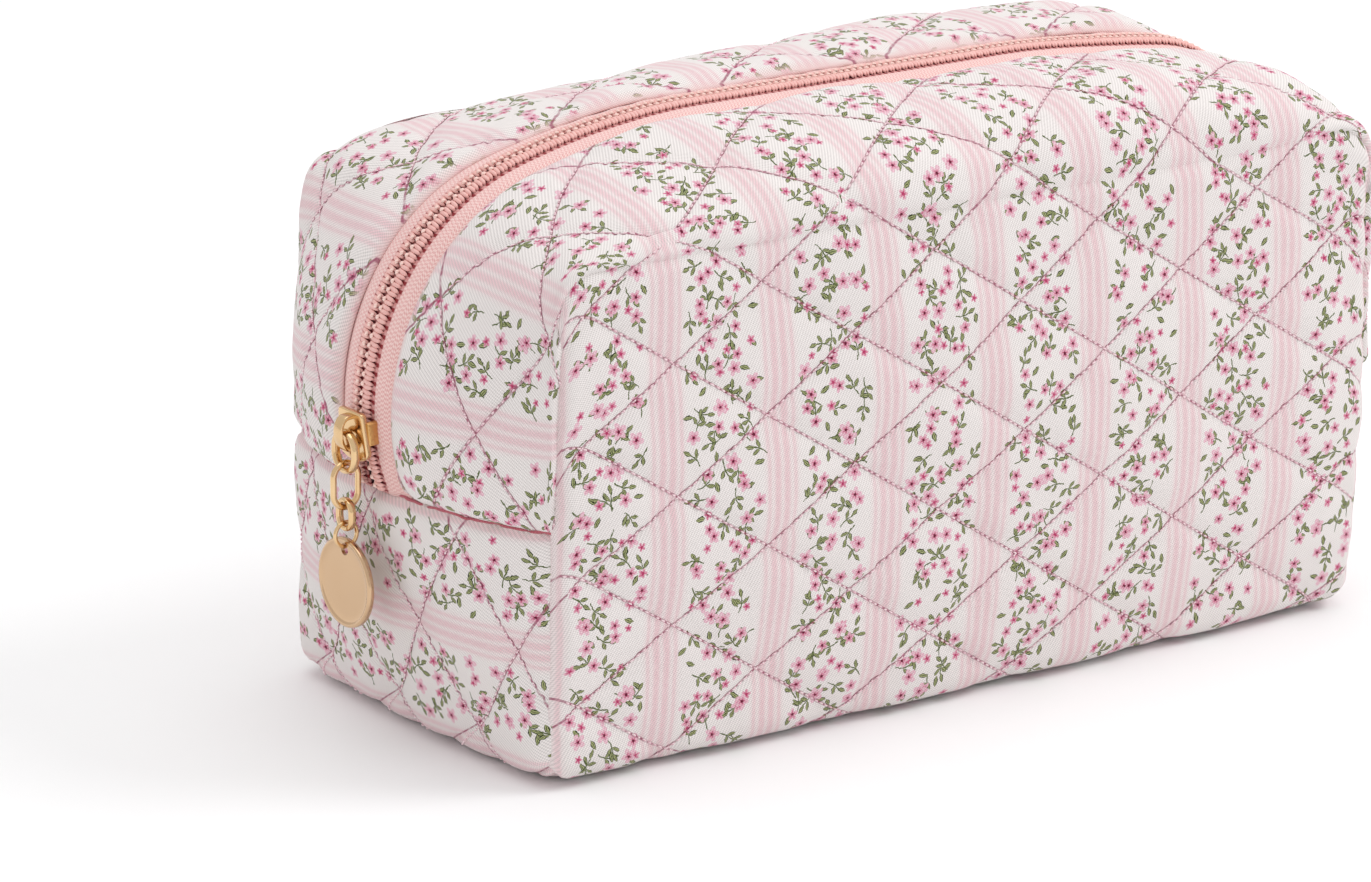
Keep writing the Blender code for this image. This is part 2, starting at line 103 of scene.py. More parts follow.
# Zip
COIL_PITCH = 1.6
COIL_RIB = 0.8
COIL_REACH = 3.1
TAPE_RAISED = 0.35
TAPE_UNDER = 1.25
ZIP_CLOSED_GAP = 0.12
ZIP_SPREAD = 1.3
SLIDER_RUN = 135.5


# ---------------------------------------------------------------- mesh helpers
def add_mesh(name, points, faces, material, uv_maps=(), marks=(), smooth=True):
    """Mesh object from points in millimetres. uv_maps holds (name, value per point) pairs."""
    mesh = bpy.data.meshes.new(name)
    mesh.from_pydata((np.asarray(points, float) * MM).tolist(), [], faces)
    corners = np.zeros(len(mesh.loops), int)
    mesh.loops.foreach_get("vertex_index", corners)
    for uv_name, values in uv_maps:
        layer = mesh.uv_layers.new(name=uv_name)
        layer.data.foreach_set("uv", np.asarray(values, float)[corners].ravel())
    for mark_name, values in marks:
        mark = mesh.attributes.new(mark_name, "FLOAT", "POINT")
        mark.data.foreach_set("value", np.asarray(values, np.float32))
    mesh.materials.append(material)
    if smooth:
        mesh.shade_smooth()
    made = bpy.data.objects.new(name, mesh)
    bpy.context.collection.objects.link(made)
    return made


def grid_faces(columns, rows, flip=False, start=0):
    """Quads of a grid whose points run row by row inside each column."""
    i, j = np.meshgrid(np.arange(columns - 1), np.arange(rows - 1), indexing="ij")
    a = (start + i * rows + j).ravel()
    ring = [a, a + rows, a + rows + 1, a + 1]
    if flip:
        ring.reverse()
    return np.stack(ring, axis=1)


def ring_faces(rings, around, closed=False, capped=False):
    """Quads between rings that hold the same number of points, with or without end caps."""
    faces = []
    for k in range(rings if closed else rings - 1):
        a, b = k * around, (k + 1) % rings * around
        faces += [(a + m, b + m, b + (m + 1) % around, a + (m + 1) % around) for m in range(around)]
    if capped:
        last = (rings - 1) * around
        faces += [tuple(reversed(range(around))), tuple(range(last, last + around))]
    return faces


def joined_to(piece, body, slot, *nodes):
    """Gives a piece its body, and hides the CAD nodes that it stands for. The slot argument is not used.
    """
    if nodes:
        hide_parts(*nodes)
    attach(piece, body)


def grid_normals(points):
    """Unit normals of a grid of points (columns, rows, 3)."""
    along = np.gradient(points, axis=0)
    across = np.gradient(points, axis=1)
    normal = np.cross(along, across)
    length = np.linalg.norm(normal, axis=2, keepdims=True)
    return normal / np.maximum(length, 1e-9)


def outward_normals(points):
    """Normals that point away from the middle of the bag."""
    normal = grid_normals(points)
    away = points - BAG_MIDDLE
    return -normal if (normal * away).sum() < 0 else normal


def apply_modifiers(piece):
    """Turns a piece's modifiers into mesh."""
    graph = bpy.context.evaluated_depsgraph_get()
    mesh = bpy.data.meshes.new_from_object(piece.evaluated_get(graph))
    piece.modifiers.clear()
    piece.data = mesh


def smoothstep(value, low, high):
    t = np.clip((value - low) / (high - low), 0, 1)
    return t * t * (3 - 2 * t)


def soft_noise(points, size, seed):
    """Smooth noise from -1 to 1, at points in millimetres."""
    shift = Vector((seed * 13.7, seed * 7.3, seed * 3.1))
    flat = np.asarray(points, float).reshape(-1, 3) / size
    values = [noise.noise(Vector(p) + shift) for p in flat.tolist()]
    return np.array(values).reshape(np.shape(points)[:-1])


# ---------------------------------------------------------------- the bag's outer shape
def fullness(distance, half_span):
    """1 in the middle of a panel, 0 at its seams."""
    share = np.minimum(np.abs(distance) / half_span, 1.0)
    return 1 - share ** BULGE_POWER


def shoulder_line(run):
    """X and Z along the top's front or back edge, by distance from the bag's middle."""
    turn = np.clip((run - LEVEL_END) / SHOULDER_RADIUS, 0, math.pi / 2)
    x = np.minimum(run, LEVEL_END) + SHOULDER_RADIUS * np.sin(turn)
    drop = np.maximum(run - LEVEL_END - BEND_RUN, 0)
    return x, SHOULDER_Z - SHOULDER_RADIUS * (1 - np.cos(turn)) - drop


def crown_line(run):
    """X and Z along the zip, by the same distance."""
    arc_top = ARC_Z + ARC_RADIUS * math.sin(ARC_HIGH)
    beyond = np.clip((run - CROWN_FLAT) / (LIP_HALF - CROWN_FLAT), 0, 1)
    top_z = CROWN_Z - (CROWN_Z - arc_top) * beyond ** 2
    down = np.clip((run - LIP_HALF) / (RUN_END - LIP_HALF), 0, 1)
    angle = ARC_HIGH - (ARC_HIGH - ARC_LOW) * down
    on_end = run > LIP_HALF
    x = np.where(on_end, ARC_X + ARC_RADIUS * np.cos(angle), run)
    z = np.where(on_end, ARC_Z + ARC_RADIUS * np.sin(angle), top_z)
    return x, z


def edge_y(run):
    """How far out the top's edge lies."""
    up = 1 - np.clip((run - LIP_HALF) / (RUN_END - LIP_HALF), 0, 1)
    return HALF_DEPTH + (SHOULDER_Y - HALF_DEPTH) * np.minimum(1, 2 * up)


def top_surface(run, y, right=0):
    """Top and upper end of one quarter of the bag, with X and Y both positive."""
    low_x, low_z = shoulder_line(run)
    high_x, high_z = crown_line(run)
    out = np.minimum(y / edge_y(run), 1.0)
    boxy = np.sqrt(1 - out ** (BOX_POWER + right * BOX_RISE * smoothstep(run, 0, 60)))
    share = boxy + (fullness(y, edge_y(run)) - boxy) * smoothstep(run, 84.0 + 8 * right, 108.0)
    x = low_x + (high_x - low_x) * share
    z = low_z + (high_z - low_z) * share
    return np.stack([x, y + 0 * x, z], axis=-1)


def top_edge_z(x):
    """Upper edge of the front, which drops round the shoulder at its ends."""
    beyond = np.clip(np.abs(x) - LEVEL_END, 0, SHOULDER_RADIUS)
    drop = SHOULDER_RADIUS - np.sqrt(SHOULDER_RADIUS ** 2 - beyond ** 2)
    return SHOULDER_Z - drop


def side_surface(across, height):
    """Front or back: across from -1 to 1, height along the cloth from FOOT_LOW to SHOULDER_Z."""
    turn = np.clip((height + FOOT_RUN - FOOT_RADIUS) / FOOT_RUN, 0, 1) * math.pi / 2
    rise = np.clip((height - FOOT_RADIUS) / (SHOULDER_Z - FOOT_RADIUS), 0, 1)
    tuck = FOOT_RADIUS * (1 - np.sin(turn))
    x = across * (HALF_LENGTH - tuck)
    z = FOOT_RADIUS * (1 - np.cos(turn)) + rise * (top_edge_z(x) - FOOT_RADIUS)
    share = SIDE_FOOT_SHARE * (1 - rise) + (1 - SIDE_FOOT_SHARE) * np.sin(rise * math.pi)
    y = HALF_DEPTH - tuck + share * SIDE_BULGE * fullness(x, HALF_LENGTH)
    y = y + (SHOULDER_Y - HALF_DEPTH) * rise
    return np.stack([x, y, z], axis=-1)


def end_surface(across, height):
    """Lower part of an end, with X positive, from under the foot up to the level seam."""
    turn = np.clip((height + FOOT_RUN - FOOT_RADIUS) / FOOT_RUN, 0, 1) * math.pi / 2
    rise = np.clip((height - FOOT_RADIUS) / (END_SEAM_Z - FOOT_RADIUS), 0, 1)
    tuck = FOOT_RADIUS * (1 - np.sin(turn))
    y = across * (HALF_DEPTH - tuck)
    swell = END_FOOT_SHARE + (1 - END_FOOT_SHARE) * np.sin(rise * math.pi / 2)
    x = HALF_LENGTH - tuck + swell * END_BULGE * fullness(y, HALF_DEPTH)
    z = FOOT_RADIUS * (1 - np.cos(turn)) + rise * (END_SEAM_Z - FOOT_RADIUS)
    return np.stack([x, y, z], axis=-1)


def fold_half_angle(run):
    """Half of the corner between the front and the top, at the top's edge."""
    rise = crown_line(run)[1] - SHOULDER_Z
    top_slope = np.arctan(np.maximum(rise, 0) * BULGE_POWER / SHOULDER_Y)
    full = fullness(np.minimum(run, HALF_LENGTH), HALF_LENGTH)
    front_slope = np.arctan(0.8 * math.pi * SIDE_BULGE * full / (SHOULDER_Z - FOOT_RADIUS))
    return (math.pi / 2 - top_slope - front_slope) / 2


def fold_round(distance, run):
    """How far the cloth stands out beside the soft fold, so that it turns over without a crease."""
    near = np.clip(1 - distance / FOLD_REACH, 0, 1)
    creased = smoothstep(run, 86.0, 104.0)
    return np.tan(fold_half_angle(run)) * distance * near ** 2 * creased


def seam_share(run):
    """0 where the top's edge is a soft fold, 1 where it is a sewn corner seam."""
    return smoothstep(run, 94.0, 103.0)


# ---------------------------------------------------------------- quilting
def quilt_place(u, v, phase):
    """Where the two families of quilting lines lie: on every even number."""
    p = (u - phase[0]) / QUILT_A
    q = (v - phase[1]) / QUILT_B
    return p + q, p - q


def line_distance(value):
    return np.abs(value - 2 * np.round(value / 2)) * LINE_SCALE


def pillow(distance, reach=PUFF_REACH):
    """0 on a stitched line, rising steeply and then levelling to 1."""
    near = 1 - np.minimum(distance / reach, 1)
    return np.sqrt(1 - near ** 2.4)


def quilt_relief(points, place, seed):
    """Height of the padded cloth over its stitched lines, with small puckers along them."""
    first, second = line_distance(place[0]), line_distance(place[1])
    nearest = np.minimum(first, second)
    puff = pillow(first) * pillow(second)
    uneven = 1 + 0.3 * soft_noise(points, 14.0, seed)
    pucker = soft_noise(points, 2.6, seed + 1) * np.exp(-nearest / 2.2) * 0.36
    ripple = soft_noise(points, 6.5, seed + 2) * 0.24
    return PUFF_HEIGHT * puff * uneven + pucker + ripple - 0.3


# ---------------------------------------------------------------- cloth pieces
def top_quarter(end, side):
    """Half of a lip and the upper end beside it: points, flat coordinates and quilting place."""
    runs = np.concatenate([[-2.5, -1.25], np.linspace(0, RUN_END, round(RUN_END / GRID) + 1)])
    shares = np.linspace(0, 1, 40) ** 1.7
    run = np.abs(runs)[:, None] + 0 * shares[None, :]
    outer = edge_y(run)
    y = outer + (ZIP_EDGE_Y - outer) * shares[None, :]
    points = top_surface(run, y, end)
    points[:2, :, 0] *= -1
    normal = outward_normals(points)
    middle_y = SHOULDER_Y + (ZIP_EDGE_Y - SHOULDER_Y) * shares
    profile = top_surface(np.zeros_like(shares), middle_y)
    steps = np.linalg.norm(np.diff(profile, axis=0), axis=1)
    from_edge = np.concatenate([[0.0], np.cumsum(steps)])[None, :] + 0 * y
    seam = seam_share(run)
    flat_v = SHOULDER_Z + from_edge
    flat_u = end * runs[:, None] + 0 * y
    shift = -6.0 * smoothstep(run, 80, 100) if end == LEFT else 0 * run
    place = quilt_place(flat_u + shift, SHOULDER_Z + from_edge * 0.82, QUILT_PHASE[side])
    world = points * np.array([end, side, 1])
    relief = quilt_relief(world, place, 3 + side)
    edge_hold = seam * pillow(from_edge, 4.0) + (1 - seam) * smoothstep(from_edge, 0, 2.0)
    zip_hold = pillow(y - ZIP_EDGE_Y, 3.0)
    end_hold = pillow(RUN_END - run, 4.0)
    lift = relief * edge_hold * zip_hold * end_hold
    lift += (1 - seam) * fold_round(from_edge, run)
    lift -= seam * 1.5 * np.clip(1 - from_edge / 4.5, 0, 1) ** 2
    lift -= 1.1 * np.clip(1 - (RUN_END - run) / 3.0, 0, 1) ** 2
    slack = soft_noise(world, 30.0, 9) * 0.9 + 0.3
    lift += slack * smoothstep(from_edge, 0, 12) * smoothstep(RUN_END - run, 0, 10)
    lift -= 0.7 * (1 - smoothstep(y, ZIP_EDGE_Y, ZIP_EDGE_Y + 5))
    lift[0] -= 0.5
    lift[1] -= 0.15
    shown = points + normal * lift[..., None]
    return {"points": shown, "normal": normal, "u": flat_u, "v": flat_v, "place": place, "run": run}


def grow(patch, columns, rows, keys=("u", "v")):
    """Repeats the border values of a patch's flat coordinates and quilting place."""
    for key in keys:
        patch[key] = np.pad(patch[key], (columns, rows), mode="edge")
    patch["place"] = [np.pad(p, (columns, rows), mode="edge") for p in patch["place"]]


def add_top_borders(quarter):
    """Adds the rolled hem at the zip, the turned edge at the level seam and the tuck at the fold."""
    points, normal = quarter["points"], quarter["normal"]
    toward_zip = np.zeros_like(points[:, -1])
    toward_zip[:, 1] = -1
    last, out = points[:, -1], normal[:, -1]
    hem = []
    for ahead, drop in ((0.35, 0.12), (0.6, 0.4), (0.6, 0.75), (0.2, 1.0), (-1.2, 1.1), (-3.0, 1.15)):
        hem.append(last + toward_zip * ahead - out * drop)
    first = points[:, 0]
    inward_x = np.cos(np.clip((quarter["run"][:, 0] - LEVEL_END) / SHOULDER_RADIUS, 0, math.pi / 2))
    inward_z = np.sqrt(1 - inward_x ** 2)
    down = np.stack([-inward_z, 0 * inward_x, -inward_x], axis=-1)
    run = quarter["run"][:, 0]
    tuck = []
    for reach, inset in ((2.4, 0.5), (1.2, 0.12)):
        out_y = fold_round(reach, run) * (1 - seam_share(run)) - inset
        out_y -= seam_share(run) * 2.0
        moved = first + down * reach
        moved[:, 1] += out_y
        tuck.append(moved)
    rows = [tuck[0], tuck[1], *np.moveaxis(points, 1, 0), *hem]
    grown = np.stack(rows, axis=1)
    count = points.shape[1]
    low, high = 2, len(hem)
    grow(quarter, (0, 0), (low, high), ("u",))
    v = quarter["v"]
    before = v[:, :1] - np.array([[2.4, 1.2]])
    after = v[:, -1:] + np.cumsum([[0.5, 0.6, 0.5, 0.6, 1.6, 1.8]], axis=1)
    quarter["v"] = np.concatenate([before, v, after], axis=1)
    hem_mark = np.zeros(grown.shape[:2])
    hem_mark[:, low + count:] = 1
    hem_mark[:, low + count - 1] = 0.8
    turned_under = []
    edge_normal = np.pad(normal[-1], ((low, high), (0, 0)), mode="edge")
    for ahead, drop in ((0.5, 0.5), (0.5, 1.3), (-0.6, 2.2)):
        moved = grown[-1] - edge_normal * drop
        moved[:, 2] -= ahead
        turned_under.append(moved)
    quarter["points"] = np.concatenate([grown, np.stack(turned_under)], axis=0)
    grow(quarter, (0, 3), (0, 0))
    hem_mark = np.pad(hem_mark, ((0, 3), (0, 0)), mode="edge")
    hem_mark[-3:] = np.maximum(hem_mark[-3:], 0.6)
    quarter["hem"] = hem_mark
    return quarter


def mirrored(points, end, side):
    return points * np.array([end, side, 1])


# The soft bag's own unevenness: middle, reach and push of each place, in millimetres.
SLACK_PLACES = (
    ((88, 24, 112), (24, 26, 30), (0.5, 0, 4.6)),
    ((98, -20, 108), (22, 30, 26), (0.6, 0, 3.0)),
    ((-78, 44, 104), (30, 13, 18), (0, 0, 4.2)),
    ((-99, 46, 88), (14, 16, 26), (2.6, 0, -0.6)),
    ((100, -46, 44), (22, 24, 34), (2.0, -0.3, 0)),
)


def settled(points):
    """Points moved by the bag's unevenness, the same for every layer of cloth."""
    moved = points.copy()
    for middle, reach, push in SLACK_PLACES:
        away = (points - np.array(middle)) / np.array(reach)
        moved += np.exp(-(away ** 2).sum(axis=-1))[..., None] * np.array(push)
    return moved


def side_patch(side):
    """Front or back panel with its foot, the rounded fold above and its corner seams."""
    across = np.linspace(-1, 1, round(2 * HALF_LENGTH / GRID) + 1)
    heights = np.linspace(FOOT_LOW, SHOULDER_Z, round((SHOULDER_Z - FOOT_LOW) / GRID) + 1)
    s = across[:, None] + 0 * heights[None, :]
    h = heights[None, :] + 0 * across[:, None]
    points = side_surface(s, h)
    normal = grid_normals(points)
    normal *= np.sign(normal[..., 1:2].sum())
    x = points[..., 0]
    run = np.abs(x)
    flat_u = s * HALF_LENGTH
    place = quilt_place(flat_u, h, QUILT_PHASE[side])
    world = mirrored(points, 1, side)
    relief = quilt_relief(world, place, 5 + side)
    from_top = SHOULDER_Z - h
    from_seam = (1 - np.abs(s)) * HALF_LENGTH
    on_seam = smoothstep(from_top, 2.0, 9.0)
    seam_hold = 1 - on_seam * (1 - pillow(from_seam, 4.0))
    foot_hold = smoothstep(h, FOOT_LOW, FOOT_LOW + 6)
    lift = relief * seam_hold * smoothstep(from_top, 0, 2.0) * foot_hold
    lift += fold_round(from_top, run) * (1 - 0.8 * smoothstep(run, 90, 99))
    lift -= on_seam * 1.5 * np.clip(1 - from_seam / 2.6, 0, 1) ** 2
    pulled = soft_noise(world * np.array([0.3, 0.3, 1.0]), 4.5, 13)
    lift += GATHER * pulled * np.exp(-from_seam / 8.0) * smoothstep(from_seam, 0, 2.5)
    slack = soft_noise(world, 34.0, 11)
    lift += slack * smoothstep(from_top, 0, 14) * smoothstep(from_seam, 0, 14) * smoothstep(h, 0, 14)
    shown = points + normal * lift[..., None]
    return {"points": shown, "base_x": x[:, -1], "u": flat_u, "v": h, "place": place}


def add_side_borders(patch):
    """Adds the tuck over the fold at the top and the turned edges of the corner seams."""
    points = patch["points"]
    x = np.clip(np.abs(patch["base_x"]), 0, HALF_LENGTH)
    beyond = np.clip((x - LEVEL_END) / SHOULDER_RADIUS, 0, 1)
    run = np.minimum(x, LEVEL_END) + SHOULDER_RADIUS * np.arcsin(beyond)
    right = patch["base_x"] > 0
    sign = np.where(patch["base_x"] < 0, -1, 1)
    rows = []
    for reach, inset in ((1.2, 0.15), (2.4, 0.5)):
        y = edge_y(run) - reach * 0.9
        on_top = top_surface(run, y)
        on_right = top_surface(run, y, 1)
        on_top = np.where(right[:, None], on_right, on_top)
        on_top[:, 0] *= sign
        rise = fold_round(reach, run) * (1 - seam_share(run)) - inset - seam_share(run) * 1.5
        on_top[:, 2] += rise * 0.8
        on_top[:, 1] += rise * 0.6
        rows.append(on_top)
    grown = np.concatenate([points, np.stack(rows, axis=1)], axis=1)
    flat_v = np.concatenate([patch["v"], patch["v"][:, -1:] + np.array([[1.2, 2.4]])], axis=1)
    patch["points"], patch["v"] = grown, flat_v
    grow(patch, (0, 0), (0, 2), ("u",))
    edges = []
    for index, direction in ((0, 1), (-1, -1)):
        turned = []
        for inside, drop in ((0.4, 1.2), (1.2, 2.8)):
            moved = grown[index].copy()
            moved[:, 0] += direction * inside
            moved[:, 1] -= drop
            turned.append(moved)
        edges.append(turned)
    patch["points"] = np.concatenate([edges[0][::-1], grown, edges[1]], axis=0)
    grow(patch, (2, 2), (0, 0))
    patch["hem"] = np.zeros(patch["u"].shape)
    return patch


def end_patch(end):
    """Lower end with its foot, tucked in at the corner seams and the level seam above."""
    across = np.linspace(-1, 1, round(2 * HALF_DEPTH / GRID) + 1)
    heights = np.linspace(FOOT_LOW, END_SEAM_Z, round((END_SEAM_Z - FOOT_LOW) / GRID) + 1)
    s = across[:, None] + 0 * heights[None, :]
    h = heights[None, :] + 0 * across[:, None]
    points = end_surface(s, h)
    normal = grid_normals(points)
    normal *= np.sign(normal[..., 0:1].sum())
    y = points[..., 1]
    flat_u = end * (100.5 + h)
    flat_v = FOOT_LOW - HALF_DEPTH + FOOT_RADIUS - y
    settling = smoothstep(h, FOOT_LOW, 12)
    place = quilt_place(flat_u + end * 9.0 * settling, flat_v - 5 * settling, QUILT_PHASE[FRONT])
    world = mirrored(points, end, 1)
    relief = quilt_relief(world, place, 8 + end)
    from_seam = (1 - np.abs(s)) * HALF_DEPTH
    from_top = END_SEAM_Z - h
    lift = relief * pillow(from_seam, 4.5) * pillow(from_top, 4.0) * smoothstep(h, FOOT_LOW, FOOT_LOW + 6)
    lift -= 1.6 * np.clip(1 - from_seam / 4.5, 0, 1) ** 2 * smoothstep(h, FOOT_LOW, FOOT_LOW + 4)
    lift -= 0.9 * np.clip(1 - from_top / 2.5, 0, 1) ** 2
    pulled = soft_noise(world * np.array([1.0, 0.9, 0.3]), 4.5, 13)
    lift += GATHER * pulled * np.exp(-from_top / 7.0) * smoothstep(from_top, 0, 2.5)
    slack = soft_noise(world, 24.0, 17) * 0.8
    lift += slack * smoothstep(from_seam, 0, 12) * smoothstep(from_top, 0, 8) * smoothstep(h, 0, 14)
    shown = points + normal * lift[..., None]
    return {"points": shown, "u": flat_u, "v": flat_v, "place": place, "normal": normal}


def add_end_borders(patch):
    """Turns the lower end's upper edge under at the level seam, and its corner edges inwards."""
    points = patch["points"]
    rows = []
    for ahead, drop in ((0.45, 0.5), (0.45, 1.3), (-0.6, 2.2)):
        moved = points[:, -1] - patch["normal"][:, -1] * drop
        moved[:, 2] += ahead
        rows.append(moved)
    grown = np.concatenate([points, np.stack(rows, axis=1)], axis=1)
    edges = []
    for index, direction in ((0, 1), (-1, -1)):
        moved = grown[index].copy()
        moved[:, 0] -= 1.6
        moved[:, 1] += direction * -0.4
        edges.append(moved[None])
    patch["points"] = np.concatenate([edges[0], grown, edges[1]], axis=0)
    grow(patch, (1, 1), (0, 3))
    patch["hem"] = np.zeros(patch["u"].shape)
    patch["hem"][:, -3:] = 0.8
    patch["hem"][:, -4:-3] = 0.5
    return patch


def base_patch():
    """Flat base whose four borders are the lower edges of the sides and ends."""
    sides = np.linspace(-1, 1, round(2 * HALF_LENGTH / GRID) + 1)
    ends = np.linspace(-1, 1, round(2 * HALF_DEPTH / GRID) + 1)
    foot = FOOT_LOW + 0 * sides
    front = mirrored(side_surface(sides, foot), 1, FRONT)
    back = mirrored(side_surface(sides, foot), 1, BACK)
    left = mirrored(end_surface(ends, FOOT_LOW + 0 * ends), LEFT, 1)
    right = mirrored(end_surface(ends, FOOT_LOW + 0 * ends), RIGHT, 1)
    a = ((sides + 1) / 2)[:, None, None]
    b = ((ends + 1) / 2)[None, :, None]
    across = front[:, None] * (1 - b) + back[:, None] * b
    along = left[None] * (1 - a) + right[None] * a
    corners = (
        front[0] * (1 - a) * (1 - b) + front[-1] * a * (1 - b)
        + back[0] * (1 - a) * b + back[-1] * a * b
    )
    points = across + along - corners
    flat_u = points[..., 0]
    flat_v = FOOT_LOW - HALF_DEPTH + FOOT_RADIUS - points[..., 1]
    place = quilt_place(flat_u, flat_v, QUILT_PHASE[FRONT])
    nearest = np.minimum(line_distance(place[0]), line_distance(place[1]))
    inside = np.minimum(94 - np.abs(points[..., 0]), 38 - np.abs(points[..., 1]))
    lift = 0.5 * (1 - pillow(nearest, 3.0)) * smoothstep(inside, 0, 5)
    shown = points.copy()
    shown[..., 2] += lift
    hem = np.zeros(flat_u.shape)
    return {"points": shown, "u": flat_u, "v": flat_v, "place": place, "hem": hem}


def cloth_object(name, patches, material):
    """One cloth mesh from patches that share borders."""
    points, faces, flat, quilt, hem, start = [], [], [], [], [], 0
    for patch in patches:
        shape = patch["points"].shape
        world = patch["world"]
        normal = grid_normals(world)
        away = patch["away"]
        turned = (normal * away).sum() < 0
        faces.append(grid_faces(shape[0], shape[1], turned, start))
        points.append(world.reshape(-1, 3))
        flat.append(np.stack([patch["u"], patch["v"]], axis=-1).reshape(-1, 2))
        quilt.append(np.stack(patch["place"], axis=-1).reshape(-1, 2))
        hem.append(patch["hem"].ravel())
        start += shape[0] * shape[1]
    points = np.concatenate(points)
    return add_mesh(
        name, points, np.concatenate(faces).tolist(), material,
        uv_maps=[("cloth", np.concatenate(flat)), ("quilt", np.concatenate(quilt))],
        marks=[("hem", np.concatenate(hem))],
    )


def place_in_world(patch, end=1, side=1):
    patch["world"] = settled(mirrored(patch["points"], end, side))
    patch["away"] = patch["world"] - BAG_MIDDLE
    return patch


def swapped(patch):
    """The patch with its columns and rows exchanged, so that its columns run along u."""
    made = {key: np.swapaxes(patch[key], 0, 1) for key in ("world", "away", "u", "v")}
    made["place"] = [p.T for p in patch["place"]]
    return made


# ---------------------------------------------------------------- node helpers
class Paint:
    """Short forms for building a material's nodes."""

    def __init__(self, name):
        self.material = bpy.data.materials.new(name)
        self.material.use_nodes = True
        self.nodes = self.material.node_tree.nodes
        self.links = self.material.node_tree.links
        self.shader = self.nodes["Principled BSDF"]

    def new(self, kind, **settings):
        node = self.nodes.new(kind)
        for key, value in settings.items():
            setattr(node, key, value)
        return node

    def put(self, socket, value):
        if isinstance(value, bpy.types.NodeSocket):
            self.links.new(value, socket)
        else:
            socket.default_value = value

    def math(self, operation, *values):
        node = self.new("ShaderNodeMath", operation=operation)
        for socket, value in zip(node.inputs, values):
            self.put(socket, value)
        return node.outputs[0]

    def plus(self, first, second):
        return self.math("ADD", first, second)

    def minus(self, first, second):
        return self.math("SUBTRACT", first, second)

    def times(self, first, second):
        return self.math("MULTIPLY", first, second)

    def absolute(self, value):
        return self.math("ABSOLUTE", value)

    def vector(self, operation, *values):
        node = self.new("ShaderNodeVectorMath", operation=operation)
        for socket, value in zip(node.inputs, values):
            self.put(socket, value)
        return node.outputs["Value" if operation in ("DOT_PRODUCT", "LENGTH", "DISTANCE") else 0]

    def step(self, value, low, high):
        """Smooth 0 to 1 as value goes from low to high."""
        node = self.new("ShaderNodeMapRange", interpolation_type="SMOOTHSTEP")
        self.put(node.inputs["Value"], value)
        self.put(node.inputs["From Min"], low)
        self.put(node.inputs["From Max"], high)
        return node.outputs["Result"]

    def mix(self, share, first, second, blend="MIX"):
        node = self.new("ShaderNodeMix", data_type="RGBA", blend_type=blend)
        for socket, value in ((node.inputs[0], share), (node.inputs[6], first), (node.inputs[7], second)):
            self.put(socket, (*value, 1) if isinstance(value, tuple) else value)
        return node.outputs[2]

    def split(self, vector):
        node = self.new("ShaderNodeSeparateXYZ")
        self.put(node.inputs[0], vector)
        return node.outputs[0], node.outputs[1], node.outputs[2]

    def uv(self, name):
        return self.new("ShaderNodeUVMap", uv_map=name).outputs[0]

    def mark(self, name):
        return self.new("ShaderNodeAttribute", attribute_name=name).outputs["Fac"]

    def noise(self, vector, scale, detail=2.0, roughness=0.5, kind="Fac"):
        node = self.new("ShaderNodeTexNoise")
        self.put(node.inputs["Vector"], vector)
        node.inputs["Scale"].default_value = scale
        node.inputs["Detail"].default_value = detail
        node.inputs["Roughness"].default_value = roughness
        return node.outputs[kind]

    def bump(self, height, strength, distance, below=None):
        node = self.new("ShaderNodeBump")
        self.put(node.inputs["Height"], height)
        node.inputs["Strength"].default_value = strength
        node.inputs["Distance"].default_value = distance
        if below is not None:
            self.links.new(below, node.inputs["Normal"])
        return node.outputs[0]

    def finish(self, colour=None, roughness=0.8, metallic=0.0, normal=None, sheen=0.0, specular=0.5):
        for key, value in (("Base Color", colour), ("Roughness", roughness), ("Normal", normal)):
            if value is not None:
                value = (*value, 1) if isinstance(value, tuple) else value
                self.put(self.shader.inputs[key], value)
        self.shader.inputs["Metallic"].default_value = metallic
        self.shader.inputs["Sheen Weight"].default_value = sheen
        self.shader.inputs["Sheen Roughness"].default_value = 0.5
        self.shader.inputs["Specular IOR Level"].default_value = specular
        return self.material


def srgb(red, green, blue):
    """Linear colour from 0-255 display values."""
    def linear(value):
        value /= 255
        return value / 12.92 if value <= 0.04045 else ((value + 0.055) / 1.055) ** 2.4
    return (linear(red), linear(green), linear(blue))


